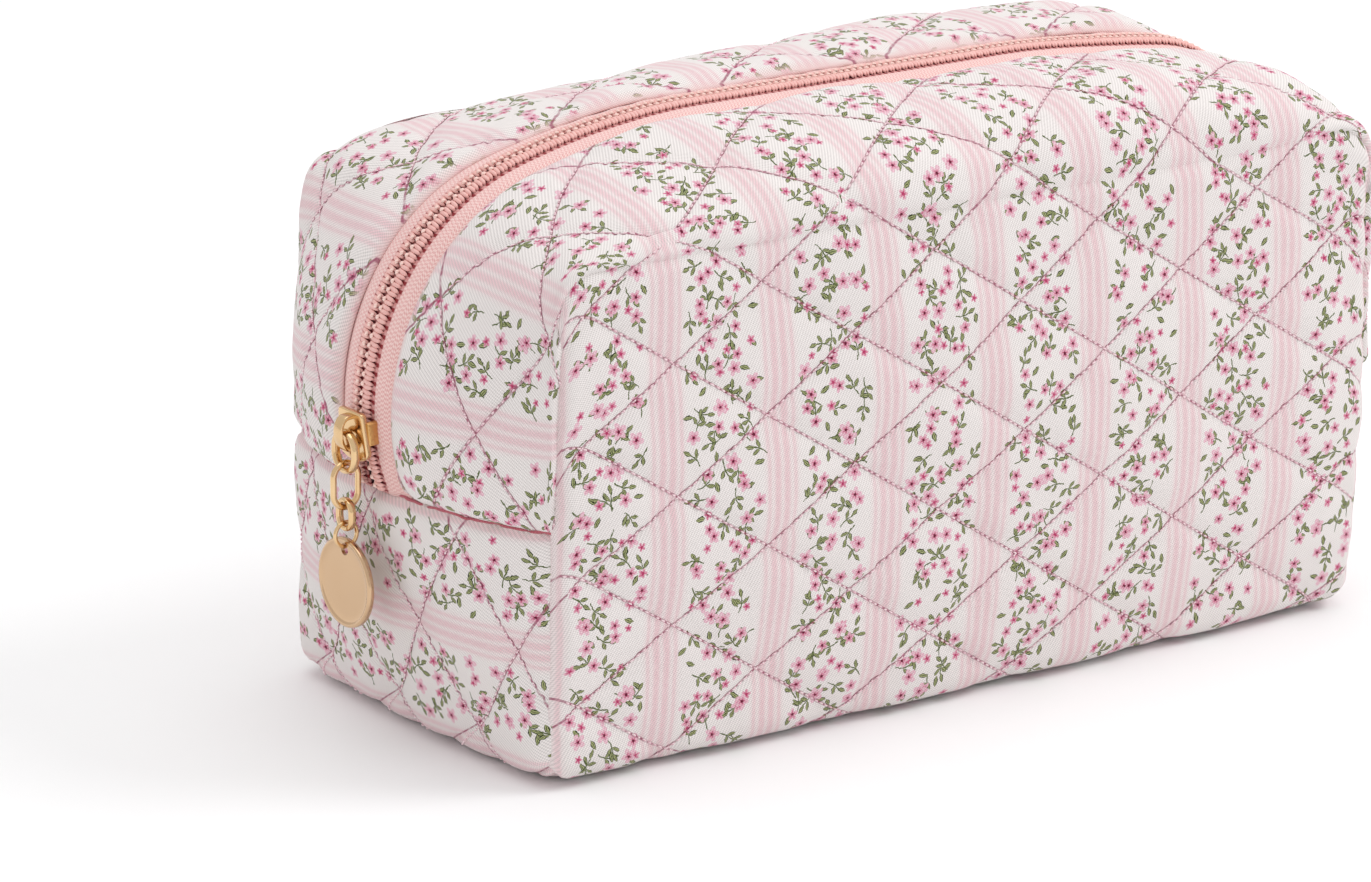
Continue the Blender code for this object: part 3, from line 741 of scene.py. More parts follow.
# ---------------------------------------------------------------- printed cotton
class Scatter:
    """One layer of motifs scattered over the cloth: local coordinates and random values."""

    def __init__(self, paint, cloth, size, jitter, turn, clear):
        cosine, sine = math.cos(turn), math.sin(turn)
        x_axis = paint.vector("DOT_PRODUCT", cloth, (cosine, sine, 0))
        y_axis = paint.vector("DOT_PRODUCT", cloth, (-sine, cosine, 0))
        joined = paint.new("ShaderNodeCombineXYZ")
        paint.put(joined.inputs[0], x_axis)
        paint.put(joined.inputs[1], y_axis)
        cells = paint.new("ShaderNodeTexVoronoi", voronoi_dimensions="2D", feature="F1")
        paint.put(cells.inputs["Vector"], joined.outputs[0])
        cells.inputs["Scale"].default_value = 1 / size
        cells.inputs["Randomness"].default_value = jitter
        centre = cells.outputs["Position"]
        local = paint.vector("SUBTRACT", joined.outputs[0], centre)
        red, green, blue = paint.split(cells.outputs["Color"])
        self.pick, self.size = green, blue
        angle = paint.times(red, 2 * math.pi)
        turned = paint.new("ShaderNodeVectorRotate", rotation_type="Z_AXIS")
        paint.put(turned.inputs["Vector"], local)
        paint.put(turned.inputs["Angle"], angle)
        self.x, self.y, _ = paint.split(turned.outputs[0])
        centre_u = paint.vector("DOT_PRODUCT", centre, (cosine, -sine, 0))
        self.open = stripe_clearance(paint, centre_u, clear)
        self.paint = paint

    def present(self, share):
        """1 in the share of the cells that hold a motif, away from the stripes."""
        chosen = self.paint.math("LESS_THAN", self.pick, share)
        return self.paint.times(chosen, self.open)


def stripe_offset(paint, u):
    """Signed distance across the cloth from the nearest stripe's centre."""
    turns = paint.math("DIVIDE", u, STRIPE_PITCH)
    nearest = paint.math("ROUND", turns)
    return paint.times(paint.minus(turns, nearest), STRIPE_PITCH)


def stripe_clearance(paint, u, clear):
    away = paint.absolute(stripe_offset(paint, u))
    return paint.math("GREATER_THAN", away, clear)


def flower(paint, layer, radius, share):
    """Five-petalled flower: its mask, and distance from its centre in petal lengths."""
    squared = paint.plus(paint.times(layer.x, layer.x), paint.times(layer.y, layer.y))
    length = paint.math("SQRT", squared)
    angle = paint.math("ARCTAN2", layer.y, layer.x)
    lobes = paint.absolute(paint.math("COSINE", paint.times(angle, 2.5)))
    scale = paint.math("MULTIPLY_ADD", layer.size, 0.35, 0.8)
    edge = paint.times(paint.math("MULTIPLY_ADD", lobes, 0.5, 0.5), radius)
    reach = paint.math("DIVIDE", length, paint.times(edge, scale))
    inside = paint.step(reach, 1.08, 0.9)
    return paint.times(inside, layer.present(share)), reach, length, lobes


def leaf_shape(paint, x, y, half_length, half_width):
    """Below 1 inside a pointed leaf lying along x."""
    along = paint.math("DIVIDE", x, half_length)
    room = paint.minus(1.0, paint.times(along, along))
    room = paint.math("MAXIMUM", room, 0.001)
    return paint.math("DIVIDE", paint.absolute(y), paint.times(room, half_width))


def turned_leaf(paint, x, y, centre, angle, half_length, half_width):
    """Leaf whose middle is at centre and which leans by angle."""
    cosine, sine = math.cos(angle), math.sin(angle)
    dx = paint.minus(x, centre[0])
    dy = paint.minus(y, centre[1])
    along = paint.plus(paint.times(dx, cosine), paint.times(dy, sine))
    across = paint.minus(paint.times(dy, cosine), paint.times(dx, sine))
    return leaf_shape(paint, along, across, half_length, half_width)


def stem_mask(paint, x, y, low, high, bend, width):
    """Thin curved stem along x."""
    curve = paint.times(paint.times(x, x), bend)
    off = paint.absolute(paint.minus(y, curve))
    thin = paint.step(off, width * 1.5, width * 0.6)
    after = paint.math("GREATER_THAN", x, low)
    before = paint.math("LESS_THAN", x, high)
    return paint.times(thin, paint.times(after, before))


OLIVE_DARK = srgb(44, 54, 16)
OLIVE_MID = srgb(92, 106, 54)
OLIVE_LIGHT = srgb(178, 184, 128)


def paint_leaf(paint, below, shape, present, light):
    """Olive outline with a lighter middle, laid over the colour below."""
    outer = paint.times(paint.step(shape, 1.12, 0.88), present)
    inner = paint.times(paint.step(shape, 0.68, 0.5), paint.step(shape, 0.05, 0.2))
    inner = paint.times(inner, present)
    with_edge = paint.mix(outer, below, OLIVE_DARK)
    return paint.mix(inner, with_edge, light)


def paint_flower(paint, below, parts, petal, edge, centre):
    mask, reach, length, lobes = parts
    rim = paint.step(reach, 0.55, 1.0)
    petals = paint.mix(paint.times(rim, 0.6), petal, edge)
    throat = paint.step(length, 1.2, 0.3)
    rays = paint.times(throat, paint.math("MULTIPLY_ADD", lobes, 0.75, 0.2))
    petals = paint.mix(rays, petals, srgb(214, 78, 128))
    petals = paint.mix(paint.step(length, 0.4, 0.2), petals, centre)
    return paint.mix(mask, below, petals)


def striped_ground(paint, cloth, u, weave):
    """Off-white cotton with pale stripes of soft dotted lines."""
    ground = paint.mix(paint.noise(cloth, 0.05), srgb(253, 247, 244), srgb(250, 242, 240))
    away = stripe_offset(paint, u)
    distance = paint.absolute(away)
    inner = paint.step(paint.absolute(paint.minus(distance, 1.1)), 1.2, 0.2)
    outer = paint.step(paint.absolute(paint.minus(distance, 3.1)), 0.7, 0.1)
    grain = paint.math("MULTIPLY_ADD", weave, 0.75, 0.25)
    speckle = paint.math("MULTIPLY_ADD", paint.noise(cloth, 1.1), 0.9, 0.5)
    grain = paint.times(grain, speckle)
    lines = paint.math("MAXIMUM", inner, paint.times(outer, 0.7))
    band = paint.step(distance, 4.8, 3.2)
    colour = paint.mix(paint.times(band, 0.5), ground, srgb(252, 231, 232))
    colour = paint.mix(paint.times(lines, grain), colour, srgb(245, 201, 208))
    return colour


def scattered_motifs(paint, colour, drawn):
    """Small leaves, sprigs and flowers over the colour below."""
    singles = Scatter(paint, drawn, 4.7, 0.6, 0.9, 4.4)
    shape = turned_leaf(paint, singles.x, singles.y, (0, 0), 0, 1.2, 0.52)
    colour = paint_leaf(paint, colour, shape, singles.present(0.6), OLIVE_LIGHT)

    for size, turn, bend in ((6.8, 0.35, 0.12), (7.8, 2.1, -0.1)):
        sprig = Scatter(paint, drawn, size, 0.5, turn, 5.2)
        present = sprig.present(0.88)
        stem = stem_mask(paint, sprig.x, sprig.y, -2.3, 1.2, bend, 0.12)
        colour = paint.mix(paint.times(stem, present), colour, OLIVE_MID)
        mirrored_y = paint.absolute(sprig.y)
        pair = turned_leaf(paint, sprig.x, mirrored_y, (0.1, 0.85), 0.85, 0.98, 0.42)
        colour = paint_leaf(paint, colour, pair, present, OLIVE_LIGHT)
        tip = turned_leaf(paint, sprig.x, sprig.y, (1.7, 0.3), 0.2, 1.0, 0.44)
        colour = paint_leaf(paint, colour, tip, present, OLIVE_LIGHT)

    petal, edge, centre = srgb(251, 216, 225), srgb(242, 172, 196), srgb(112, 12, 48)
    small = Scatter(paint, drawn, 6.2, 0.6, 1.4, 4.8)
    parts = flower(paint, small, 1.05, 0.6)
    colour = paint_flower(paint, colour, parts, petal, srgb(244, 184, 202), srgb(196, 60, 108))
    for size, turn in ((6.3, 0.2), (8.8, 2.6)):
        layer = Scatter(paint, drawn, size, 0.55, turn, 5.2)
        parts = flower(paint, layer, 1.58, 0.85)
        colour = paint_flower(paint, colour, parts, petal, edge, centre)
    return colour


def quilting_furrow_shade(paint, cloth):
    """Share of the painted shade, tinted mauve, that darkens the furrow along each stitched line, broken
    up by noise.
    """
    first, second, _ = paint.split(paint.uv("quilt"))
    nearest = None
    for place in (first, second):
        half = paint.times(place, 0.5)
        off = paint.absolute(paint.minus(half, paint.math("ROUND", half)))
        off = paint.times(off, 2 * LINE_SCALE)
        nearest = off if nearest is None else paint.math("MINIMUM", nearest, off)
    furrow_shade = paint.times(paint.step(nearest, 0.36, 0.12), 0.85)
    broken = paint.step(paint.noise(cloth, 0.8), 0.3, 0.6)
    return paint.times(furrow_shade, paint.math("MULTIPLY_ADD", broken, 0.6, 0.4))


def printed_cotton():
    """Twill cotton with dotted stripes and a scatter of small flowers and leaves."""
    paint = Paint("printed_cotton")
    cloth = paint.uv("cloth")
    u, v, _ = paint.split(cloth)
    wobble = paint.vector("SUBTRACT", paint.noise(cloth, 1.6, 1.0, kind="Color"), (0.5, 0.5, 0.5))
    wobble = paint.vector("MULTIPLY", wobble, (0.5, 0.5, 0))
    drawn = paint.vector("ADD", cloth, wobble)

    warp = paint.math("SINE", paint.times(paint.plus(u, paint.times(v, 0.5)), 9.5))
    weft = paint.math("SINE", paint.times(v, 10.5))
    weave = paint.times(warp, weft)
    weave = paint.math("MULTIPLY_ADD", weave, 0.5, 0.5)

    colour = striped_ground(paint, cloth, u, weave)
    colour = scattered_motifs(paint, colour, drawn)
    plain = paint.mark("hem")
    colour = paint.mix(paint.times(plain, 0.85), colour, srgb(247, 214, 212))
    shade = paint.math("MULTIPLY_ADD", weave, 0.36, 0.63)
    colour = paint.mix(1.0, colour, paint.vector("MULTIPLY", (1, 1, 1), shade), "MULTIPLY")

    # Painted shade: a dark mauve line in the furrow of each quilting line.
    colour = paint.mix(quilting_furrow_shade(paint, cloth), colour, srgb(150, 66, 96))

    normal = paint.bump(weave, 0.35, 0.0002)
    normal = paint.bump(paint.noise(cloth, 0.35, 3.0), 0.12, 0.001, normal)
    return paint.finish(colour, 0.86, normal=normal, sheen=0.15, specular=0.25)


# ---------------------------------------------------------------- other materials
def woven(name, colour, dark, pitch):
    """Plain weave in the flat coordinates, for lining, binding and thread."""
    paint = Paint(name)
    cloth = paint.uv("cloth")
    u, v, _ = paint.split(cloth)
    turn = 2 * math.pi / pitch
    across = paint.math("SINE", paint.times(u, turn))
    along = paint.math("SINE", paint.times(v, turn))
    weave = paint.math("MULTIPLY_ADD", paint.times(across, along), 0.5, 0.5)
    mottled = paint.noise(cloth, 0.12, 3.0)
    mixed = paint.mix(paint.times(weave, 0.6), dark, colour)
    mixed = paint.mix(paint.times(mottled, 0.25), mixed, colour)
    normal = paint.bump(weave, 0.4, 0.0003)
    return paint.finish(mixed, 0.85, normal=normal, sheen=0.2, specular=0.3)


def tape_material():
    """Zip tape: fine herringbone mesh, with painted shade along the coil's edge: a darker red strip, and
    dark red dots where the gaps between coil loops fall.
    """
    paint = Paint("zip_tape")
    cloth = paint.uv("cloth")
    u, v, _ = paint.split(cloth)
    slant = paint.math("PINGPONG", v, 0.9)
    diagonal = paint.math("SINE", paint.times(paint.plus(u, slant), 8.0))
    rib = paint.math("SINE", paint.times(v, 7.0))
    mesh = paint.math("MULTIPLY_ADD", paint.times(diagonal, rib), 0.5, 0.5)
    colour = paint.mix(mesh, srgb(224, 160, 158), srgb(252, 226, 220))
    # Painted shade: a darker red strip on the tape along the coil's outer edge, and dark red dots at the
    # gaps between the coil loops.
    near = paint.step(v, 3.9, 3.5)
    coil_gap_shade_dots = paint.math("SINE", paint.times(u, 2 * math.pi / COIL_PITCH))
    coil_gap_shade_dots = paint.times(paint.step(coil_gap_shade_dots, -0.1, 0.5), near)
    colour = paint.mix(paint.times(near, 0.55), colour, srgb(190, 90, 90))
    colour = paint.mix(coil_gap_shade_dots, colour, srgb(140, 30, 36))
    normal = paint.bump(mesh, 0.5, 0.0002)
    return paint.finish(colour, 0.8, normal=normal, sheen=0.15, specular=0.3)


def coil_material():
    """Salmon nylon filament, a little glossy, darker in its gaps."""
    paint = Paint("zip_coil")
    place = paint.new("ShaderNodeTexCoord").outputs["Object"]
    mottled = paint.noise(place, 900.0, 2.0)
    colour = paint.mix(mottled, srgb(230, 168, 162), srgb(246, 202, 194))
    rough = paint.math("MULTIPLY_ADD", mottled, 0.2, 0.32)
    normal = paint.bump(mottled, 0.1, 0.0001)
    return paint.finish(colour, rough, normal=normal, specular=0.5)


def thread_material(name, light, dark):
    """Twisted thread: fine slanted plies along each stitch."""
    paint = Paint(name)
    place = paint.new("ShaderNodeTexCoord").outputs["Object"]
    plies = paint.new("ShaderNodeTexWave", wave_type="BANDS", bands_direction="DIAGONAL")
    paint.put(plies.inputs["Vector"], place)
    plies.inputs["Scale"].default_value = 900.0
    tone = paint.noise(place, 400.0, 1.0)
    colour = paint.mix(plies.outputs["Fac"], dark, light)
    colour = paint.mix(paint.times(tone, 0.4), colour, light)
    normal = paint.bump(plies.outputs["Fac"], 0.3, 0.0001)
    return paint.finish(colour, 0.6, normal=normal, sheen=0.1, specular=0.4)


def gold_material(name, roughness, grain, low=srgb(216, 176, 126), high=srgb(238, 208, 164)):
    """Pale gold plate with faint casting marks."""
    paint = Paint(name)
    place = paint.new("ShaderNodeTexCoord").outputs["Object"]
    cloudy = paint.noise(place, 120.0, 3.0)
    colour = paint.mix(cloudy, low, high)
    fine = paint.noise(place, 1500.0, 3.0, 0.6)
    rough = paint.math("MULTIPLY_ADD", cloudy, 0.08, roughness)
    normal = paint.bump(fine, grain, 0.0002)
    return paint.finish(colour, rough, 1.0, normal=normal)


# ---------------------------------------------------------------- small repeated pieces
def capsule_template(radii, lifts, sides, wide=1.0, tall=1.0):
    """Stations along x from -0.5 to 0.5, with their rings: points and faces."""
    stations = np.linspace(-0.5, 0.5, len(radii))
    points = [(-0.5, 0, lifts[0])]
    for x, radius, lift in zip(stations[1:-1], radii[1:-1], lifts[1:-1]):
        for k in range(sides):
            turn = 2 * math.pi * k / sides
            points.append((x, radius * wide * math.cos(turn), lift + radius * tall * math.sin(turn)))
    points.append((0.5, 0, lifts[-1]))
    rings = len(radii) - 2
    faces = []
    for k in range(sides):
        n = (k + 1) % sides
        faces.append((0, 1 + n, 1 + k))
        for r in range(rings - 1):
            a, b = 1 + r * sides, 1 + (r + 1) * sides
            faces.append((a + k, a + n, b + n, b + k))
        faces.append((len(points) - 1, 1 + (rings - 1) * sides + k, 1 + (rings - 1) * sides + n))
    return np.array(points), faces


def scatter_capsules(name, starts, ends, normals, template, material):
    """Copies of a capsule from each start to its end, standing on the surface's normals."""
    shape, faces = template
    starts, ends, normals = (np.asarray(a, float) for a in (starts, ends, normals))
    axis = ends - starts
    length = np.linalg.norm(axis, axis=1, keepdims=True)
    unit = axis / np.maximum(length, 1e-9)
    up = normals - unit * (normals * unit).sum(axis=1, keepdims=True)
    up /= np.maximum(np.linalg.norm(up, axis=1, keepdims=True), 1e-9)
    across = np.cross(up, unit)
    middle = (starts + ends) / 2
    points = (
        middle[:, None]
        + axis[:, None] * shape[None, :, 0:1]
        + across[:, None] * shape[None, :, 1:2]
        + up[:, None] * shape[None, :, 2:3]
    )
    count = len(shape)
    all_faces = []
    for k in range(len(starts)):
        all_faces += [tuple(count * k + i for i in face) for face in faces]
    return add_mesh(name, points.reshape(-1, 3), all_faces, material)


STITCH = capsule_template([0, 0.15, 0.19, 0.15, 0], [-0.25, 0.02, 0.1, 0.02, -0.25], 6, 1.1)
LOOP = capsule_template([0, 0.4, 0.47, 0.48, 0.45, 0], [-0.4, 0.1, 0.2, 0.22, 0.05, -0.7], 7, 1.0, 0.8)
BEAD = capsule_template([0, 0.32, 0.38, 0.32, 0], [-0.15, 0.05, 0.12, 0.05, -0.15], 6, 1.35, 0.8)


def grid_sampler(patch):
    """Looks up world points and normals of a patch by its flat coordinates."""
    world = patch["world"]
    normal = grid_normals(world)
    if (normal * patch["away"]).sum() < 0:
        normal = -normal
    u_line = patch["u"][:, patch["u"].shape[1] // 2]
    v_line = patch["v"][patch["v"].shape[0] // 2]
    u_order = np.argsort(u_line)
    v_order = np.argsort(v_line)

    def sample(u, v):
        i = np.interp(u, u_line[u_order], u_order.astype(float))
        j = np.interp(v, v_line[v_order], v_order.astype(float))
        i0 = np.clip(np.floor(i).astype(int), 0, world.shape[0] - 2)
        j0 = np.clip(np.floor(j).astype(int), 0, world.shape[1] - 2)
        fi, fj = (i - i0)[:, None], (j - j0)[:, None]
        found = []
        for table in (world, normal):
            low = table[i0, j0] * (1 - fi) + table[i0 + 1, j0] * fi
            high = table[i0, j0 + 1] * (1 - fi) + table[i0 + 1, j0 + 1] * fi
            found.append(low * (1 - fj) + high * fj)
        return found
    return sample


def quilting_stitches(name, patch, u_range, v_range, material):
    """Stitches along the quilting lines inside a range of the patch's flat coordinates."""
    flat = np.stack([patch["u"], patch["v"]], axis=-1)
    sample = grid_sampler(patch)
    found = []
    low_u, high_u = u_range
    low_v, high_v = v_range
    for family in (0, 1):
        values = patch["place"][family]
        other = patch["place"][1 - family]
        for line in range(int(math.floor(values.min() / 2)), int(math.ceil(values.max() / 2)) + 1):
            step = STITCH_PITCH / (2 * LINE_SCALE) * 0.9
            marks = np.arange(other.min(), other.max(), step)
            u0, v0 = locate(flat, patch["place"], family, 2 * line, marks)
            u1, v1 = locate(flat, patch["place"], family, 2 * line, marks + step * 0.86)
            fine = (
                (u0 > low_u) & (u0 < high_u) & (v0 > low_v) & (v0 < high_v)
                & (u1 > low_u) & (u1 < high_u) & (v1 > low_v) & (v1 < high_v)
            )
            if fine.any():
                start, normal = sample(u0[fine], v0[fine])
                end, _ = sample(u1[fine], v1[fine])
                found.append((start, end, normal))
    starts, ends, normals = (np.concatenate(part) for part in zip(*found))
    lifted = normals * 0.12
    return scatter_capsules(name, starts + lifted, ends + lifted, normals, STITCH, material)


def locate(flat, place, family, line, marks):
    """Flat coordinates where one family's value is line and the other's is each mark."""
    first = np.full(marks.shape, float(line)) if family == 0 else marks
    second = marks if family == 0 else np.full(marks.shape, float(line))
    p, q = (first + second) / 2, (first - second) / 2
    p_grid = (place[0] + place[1]) / 2
    q_grid = (place[0] - place[1]) / 2
    p_line = p_grid[:, p_grid.shape[1] // 2]
    q_line = q_grid[q_grid.shape[0] // 2]
    u_line = flat[:, flat.shape[1] // 2, 0]
    v_line = flat[flat.shape[0] // 2, :, 1]
    p_order, q_order = np.argsort(p_line), np.argsort(q_line)
    outside = (p < p_line.min()) | (p > p_line.max()) | (q < q_line.min()) | (q > q_line.max())
    u = np.interp(p, p_line[p_order], u_line[p_order])
    v = np.interp(q, q_line[q_order], v_line[q_order])
    return np.where(outside, 1e6, u), v


# ---------------------------------------------------------------- zip
def zip_frame(run, y, end, side):
    """Point on the bag's surface at the zip, and the direction out of it."""
    step = 0.05
    here = top_surface(run, y, end)
    along = top_surface(run + step, y, end) - top_surface(run - step, y, end)
    across = top_surface(run, y + step, end) - top_surface(run, y - step, end)
    out = np.cross(across, along)
    out /= np.linalg.norm(out, axis=-1, keepdims=True)
    away = here - np.array([40.0, 0.0, 40.0])
    flip = np.sign((out * away).sum(axis=-1, keepdims=True))
    mirror = np.array([end, side, 1])
    return settled(here * mirror), out * flip * mirror


def zip_gap(run, end):
    """Half gap between the coil rows, which part below the slider."""
    if end == RIGHT:
        return ZIP_CLOSED_GAP + 0 * run
    return ZIP_CLOSED_GAP + ZIP_SPREAD * smoothstep(run, SLIDER_RUN - 2, RUN_END)


def zip_pieces(end, side):
    """Tape, coil loops and chain stitches from the middle of the lip down to the level seam."""
    name = END_NAMES[end] + "_" + SIDE_NAMES[side]
    runs = np.concatenate([[-1.5], np.arange(0, RUN_END + 0.1, 1.6), [RUN_END + 0.9]])
    offsets = np.array([0.0, 0.6, 1.6, 2.6, 3.4, 4.2, 5.2, 6.2, 7.2, 8.2, 9.2, 10.4])
    run = np.abs(runs)[:, None] + 0 * offsets[None]
    gap = zip_gap(run, end)
    y = gap + offsets[None] * (10.6 - gap) / 10.4
    at, out = zip_frame(np.minimum(run, RUN_END + 0.6), y, end, side)
    if runs[0] < 0:
        at[0, :, 0] *= -1
        out[0, :, 0] *= -1
    wave = 0.1 * np.sin(runs * 0.9)[:, None] * smoothstep(y, 3.4, 6) * smoothstep(y, 8, 7)
    drop = TAPE_RAISED + (TAPE_UNDER - TAPE_RAISED) * smoothstep(y, 5.6, 8.6)
    tape_points = at - out * (drop - wave)[..., None]
    flat = np.stack([run, offsets[None] + 0 * run], axis=-1).reshape(-1, 2)
    normal = grid_normals(tape_points)
    turned = (normal * out).sum() < 0
    tape = add_mesh(
        name + "_zip_tape", tape_points.reshape(-1, 3),
        grid_faces(len(runs), len(offsets), turned).tolist(), materials["tape"],
        uv_maps=[("cloth", flat)],
    )
    thick = tape.modifiers.new("thickness", "SOLIDIFY")
    thick.thickness = 0.5 * MM
    thick.offset = -1
    loops = np.arange(0.4, RUN_END - 0.4, COIL_RIB)
    slant = np.where(np.arange(len(loops)) % 2 == 0, 0.3, 0.12) * (1 if side == FRONT else -1)
    gap = zip_gap(loops, end)
    inner, out_inner = zip_frame(loops - slant, gap, end, side)
    outer, _ = zip_frame(loops + slant, gap + COIL_REACH, end, side)
    raised = out_inner * 0.15
    coil = scatter_capsules(
        name + "_zip_coil", inner + raised, outer + raised,
        out_inner, LOOP, materials["coil"],
    )
    loops = np.arange(0.8, RUN_END - 0.4, COIL_PITCH)
    across = zip_gap(loops, end) + 0.75
    at, out = zip_frame(loops - 0.58, across, end, side)
    to, _ = zip_frame(loops + 0.58, across, end, side)
    sewn = scatter_capsules(
        name + "_zip_stitches", at + out * 0.62, to + out * 0.62, out, BEAD, materials["zip_thread"],
    )
    return tape, coil, sewn


# ---------------------------------------------------------------- slider and chain
SLIDER_ANGLE = math.radians(-5.0)
OUT = np.array([-math.cos(SLIDER_ANGLE), 0, math.sin(SLIDER_ANGLE)])
UPWARD = np.array([math.sin(SLIDER_ANGLE), 0, math.cos(SLIDER_ANGLE)])
SLIDER_FOOT = np.array([-ARC_X, 0, ARC_Z]) + OUT * ARC_RADIUS
SLIDER_HALF_LENGTH = 5.0
PLATE_LOW, PLATE_HIGH = 1.3, 2.5
KEEL_LOW, KEEL_HIGH = -3.6, -2.9
CROWN_TOP, CROWN_BOTTOM, CROWN_STRAP = 4.4, -2.8, 0.8
CHAIN_X = SLIDER_FOOT[0] + UPWARD[0] + OUT[0] * 3.75
# Body, plane, top height, half width, height, half band, half depth
LINKS = (
    ("pull_loop", "YZ", 62.634, 3.4, 7.6, 0.62, 0.9),
    ("long_link", "XZ", 56.534, 2.8, 8.8, 0.6, 0.6),
    ("small_link", "YZ", 49.134, 2.2, 5.6, 0.55, 0.8),
    ("jump_ring", "XZ", 44.734, 2.45, 4.9, 0.4, 0.4),
)
DISC_CENTRE_Z = 32.684
HOLE_Z, HOLE_RADIUS = 39.334, 1.2


def on_slider(points):
    """World points from rows of (across, along the zip, out)."""
    points = np.asarray(points, float)
    across = np.array([0.0, 1.0, 0.0])
    return SLIDER_FOOT + points[:, :1] * across + points[:, 1:2] * UPWARD + points[:, 2:] * OUT


def slab(outline, low, high, order=(0, 1, 2)):
    """Points and faces of an outline raised between two heights; order places the three axes."""
    count = len(outline)
    rows = [(a, b, height) for height in (low, high) for a, b in outline]
    points = np.array(rows)[:, list(order)]
    faces = [tuple(range(count)), tuple(reversed(range(count, 2 * count)))]
    for k in range(count):
        n = (k + 1) % count
        faces.append((k, count + k, count + n, n))
    return points, faces


def bevelled(name, parts, material, width, segments=3):
    """One metal piece from several slabs, with softened edges."""
    points, faces, start = [], [], 0
    for part_points, part_faces in parts:
        points.append(on_slider(part_points))
        faces += [tuple(start + i for i in face) for face in part_faces]
        start += len(part_points)
    made = add_mesh(name, np.concatenate(points), faces, material)
    edge = made.modifiers.new("edges", "BEVEL")
    edge.width, edge.segments, edge.limit_method = width * MM, segments, "ANGLE"
    edge.angle_limit = math.radians(35)
    edge.harden_normals = False
    apply_modifiers(made)
    made.data.set_sharp_from_angle(angle=math.radians(50))
    return made


def slider_outline(half_width):
    """Rounded wide lower end, narrower upper end with rounded corners."""
    corner, tail = 0.8, 2.2
    inset = half_width * 0.84 - corner
    level = SLIDER_HALF_LENGTH - corner
    quarter = [math.pi / 2 * k / 6 for k in range(7)]
    half = [math.pi * k / 24 for k in range(25)]
    left = [(-inset - corner * math.cos(a), level + corner * math.sin(a)) for a in quarter]
    right = [(inset + corner * math.sin(a), level + corner * math.cos(a)) for a in quarter]
    lower = [(half_width * math.cos(a), tail - SLIDER_HALF_LENGTH - tail * math.sin(a)) for a in half]
    return left + right + lower


def strap_outline():
    """Side view of the arched strap: along the zip, out."""
    middle = (CROWN_TOP + CROWN_BOTTOM) / 2
    half = (CROWN_TOP - CROWN_BOTTOM) / 2 - CROWN_STRAP
    rails = []
    for grow in (0.0, CROWN_STRAP):
        rail = [(middle + half + grow, PLATE_HIGH - 0.3)]
        for k in range(25):
            turn = math.pi * k / 24
            rail.append((middle + (half + grow) * math.cos(turn), 3.5 + (1.5 + grow) * math.sin(turn)))
        rail.append((middle - half - grow, PLATE_HIGH - 0.3))
        rails.append(rail)
    return rails[1] + rails[0][::-1]


def make_slider():
    plate = slab(slider_outline(4.9), PLATE_LOW, PLATE_HIGH)
    keel = slab(slider_outline(3.9), KEEL_LOW, KEEL_HIGH)
    wedge = [(-0.5, 2.4), (0.5, 2.4), (0.3, 4.6), (-0.3, 4.6)]
    post = slab(wedge, KEEL_LOW + 0.3, PLATE_LOW + 0.2)
    body = bevelled("gold_slider_body", [plate, keel, post], materials["gold"], 0.3)
    flanges = []
    for side in (FRONT, BACK):
        inner, outer = side * 3.95, side * 4.85
        wall = [(inner, -1.6), (outer, -1.3), (outer, 3.0), (inner, 3.4)]
        flanges.append(slab(wall, -0.8, PLATE_LOW + 0.3))
    sides = bevelled("gold_slider_flanges", flanges, materials["cast_gold"], 0.2, 2)
    strap = slab(strap_outline(), -1.25, 1.25, (2, 0, 1))
    crown = bevelled("gold_slider_crown", [strap], materials["gold"], 0.25)
    joined_to(body, "slider", "gold", "slider_body")
    joined_to(sides, "slider", "gold")
    joined_to(crown, "slider", "gold", "slider_crown")


def make_link(body, plane, top_z, half_width, height, band, depth):
    """Oval link with a rounded band, hanging in the YZ or XZ plane."""
    side = np.array([0, 1.0, 0]) if plane == "YZ" else np.array([1.0, 0, 0])
    normal = np.array([1.0, 0, 0]) if plane == "YZ" else np.array([0, 1.0, 0])
    up = np.array([0, 0, 1.0])
    top = np.array([CHAIN_X, 0, top_z])
    straight = height - 2 * half_width
    steps, around = 72, 20
    rings = []
    for k in range(steps):
        turn = 2 * math.pi * (k + 0.5) / steps
        outward = side * math.sin(turn) + up * math.cos(turn)
        centre = top + outward * half_width - up * (half_width + (straight if math.cos(turn) < 0 else 0))
        for m in range(around):
            angle = 2 * math.pi * m / around
            flat = abs(math.cos(angle)) ** 0.8 * math.copysign(1, math.cos(angle))
            rings.append(centre + outward * flat * band + normal * math.sin(angle) * depth)
    faces = [(a, d, c, b) for a, b, c, d in ring_faces(steps, around, closed=True)]
    joined_to(add_mesh("gold_" + body, rings, faces, materials["gold"]), body, "gold", body)


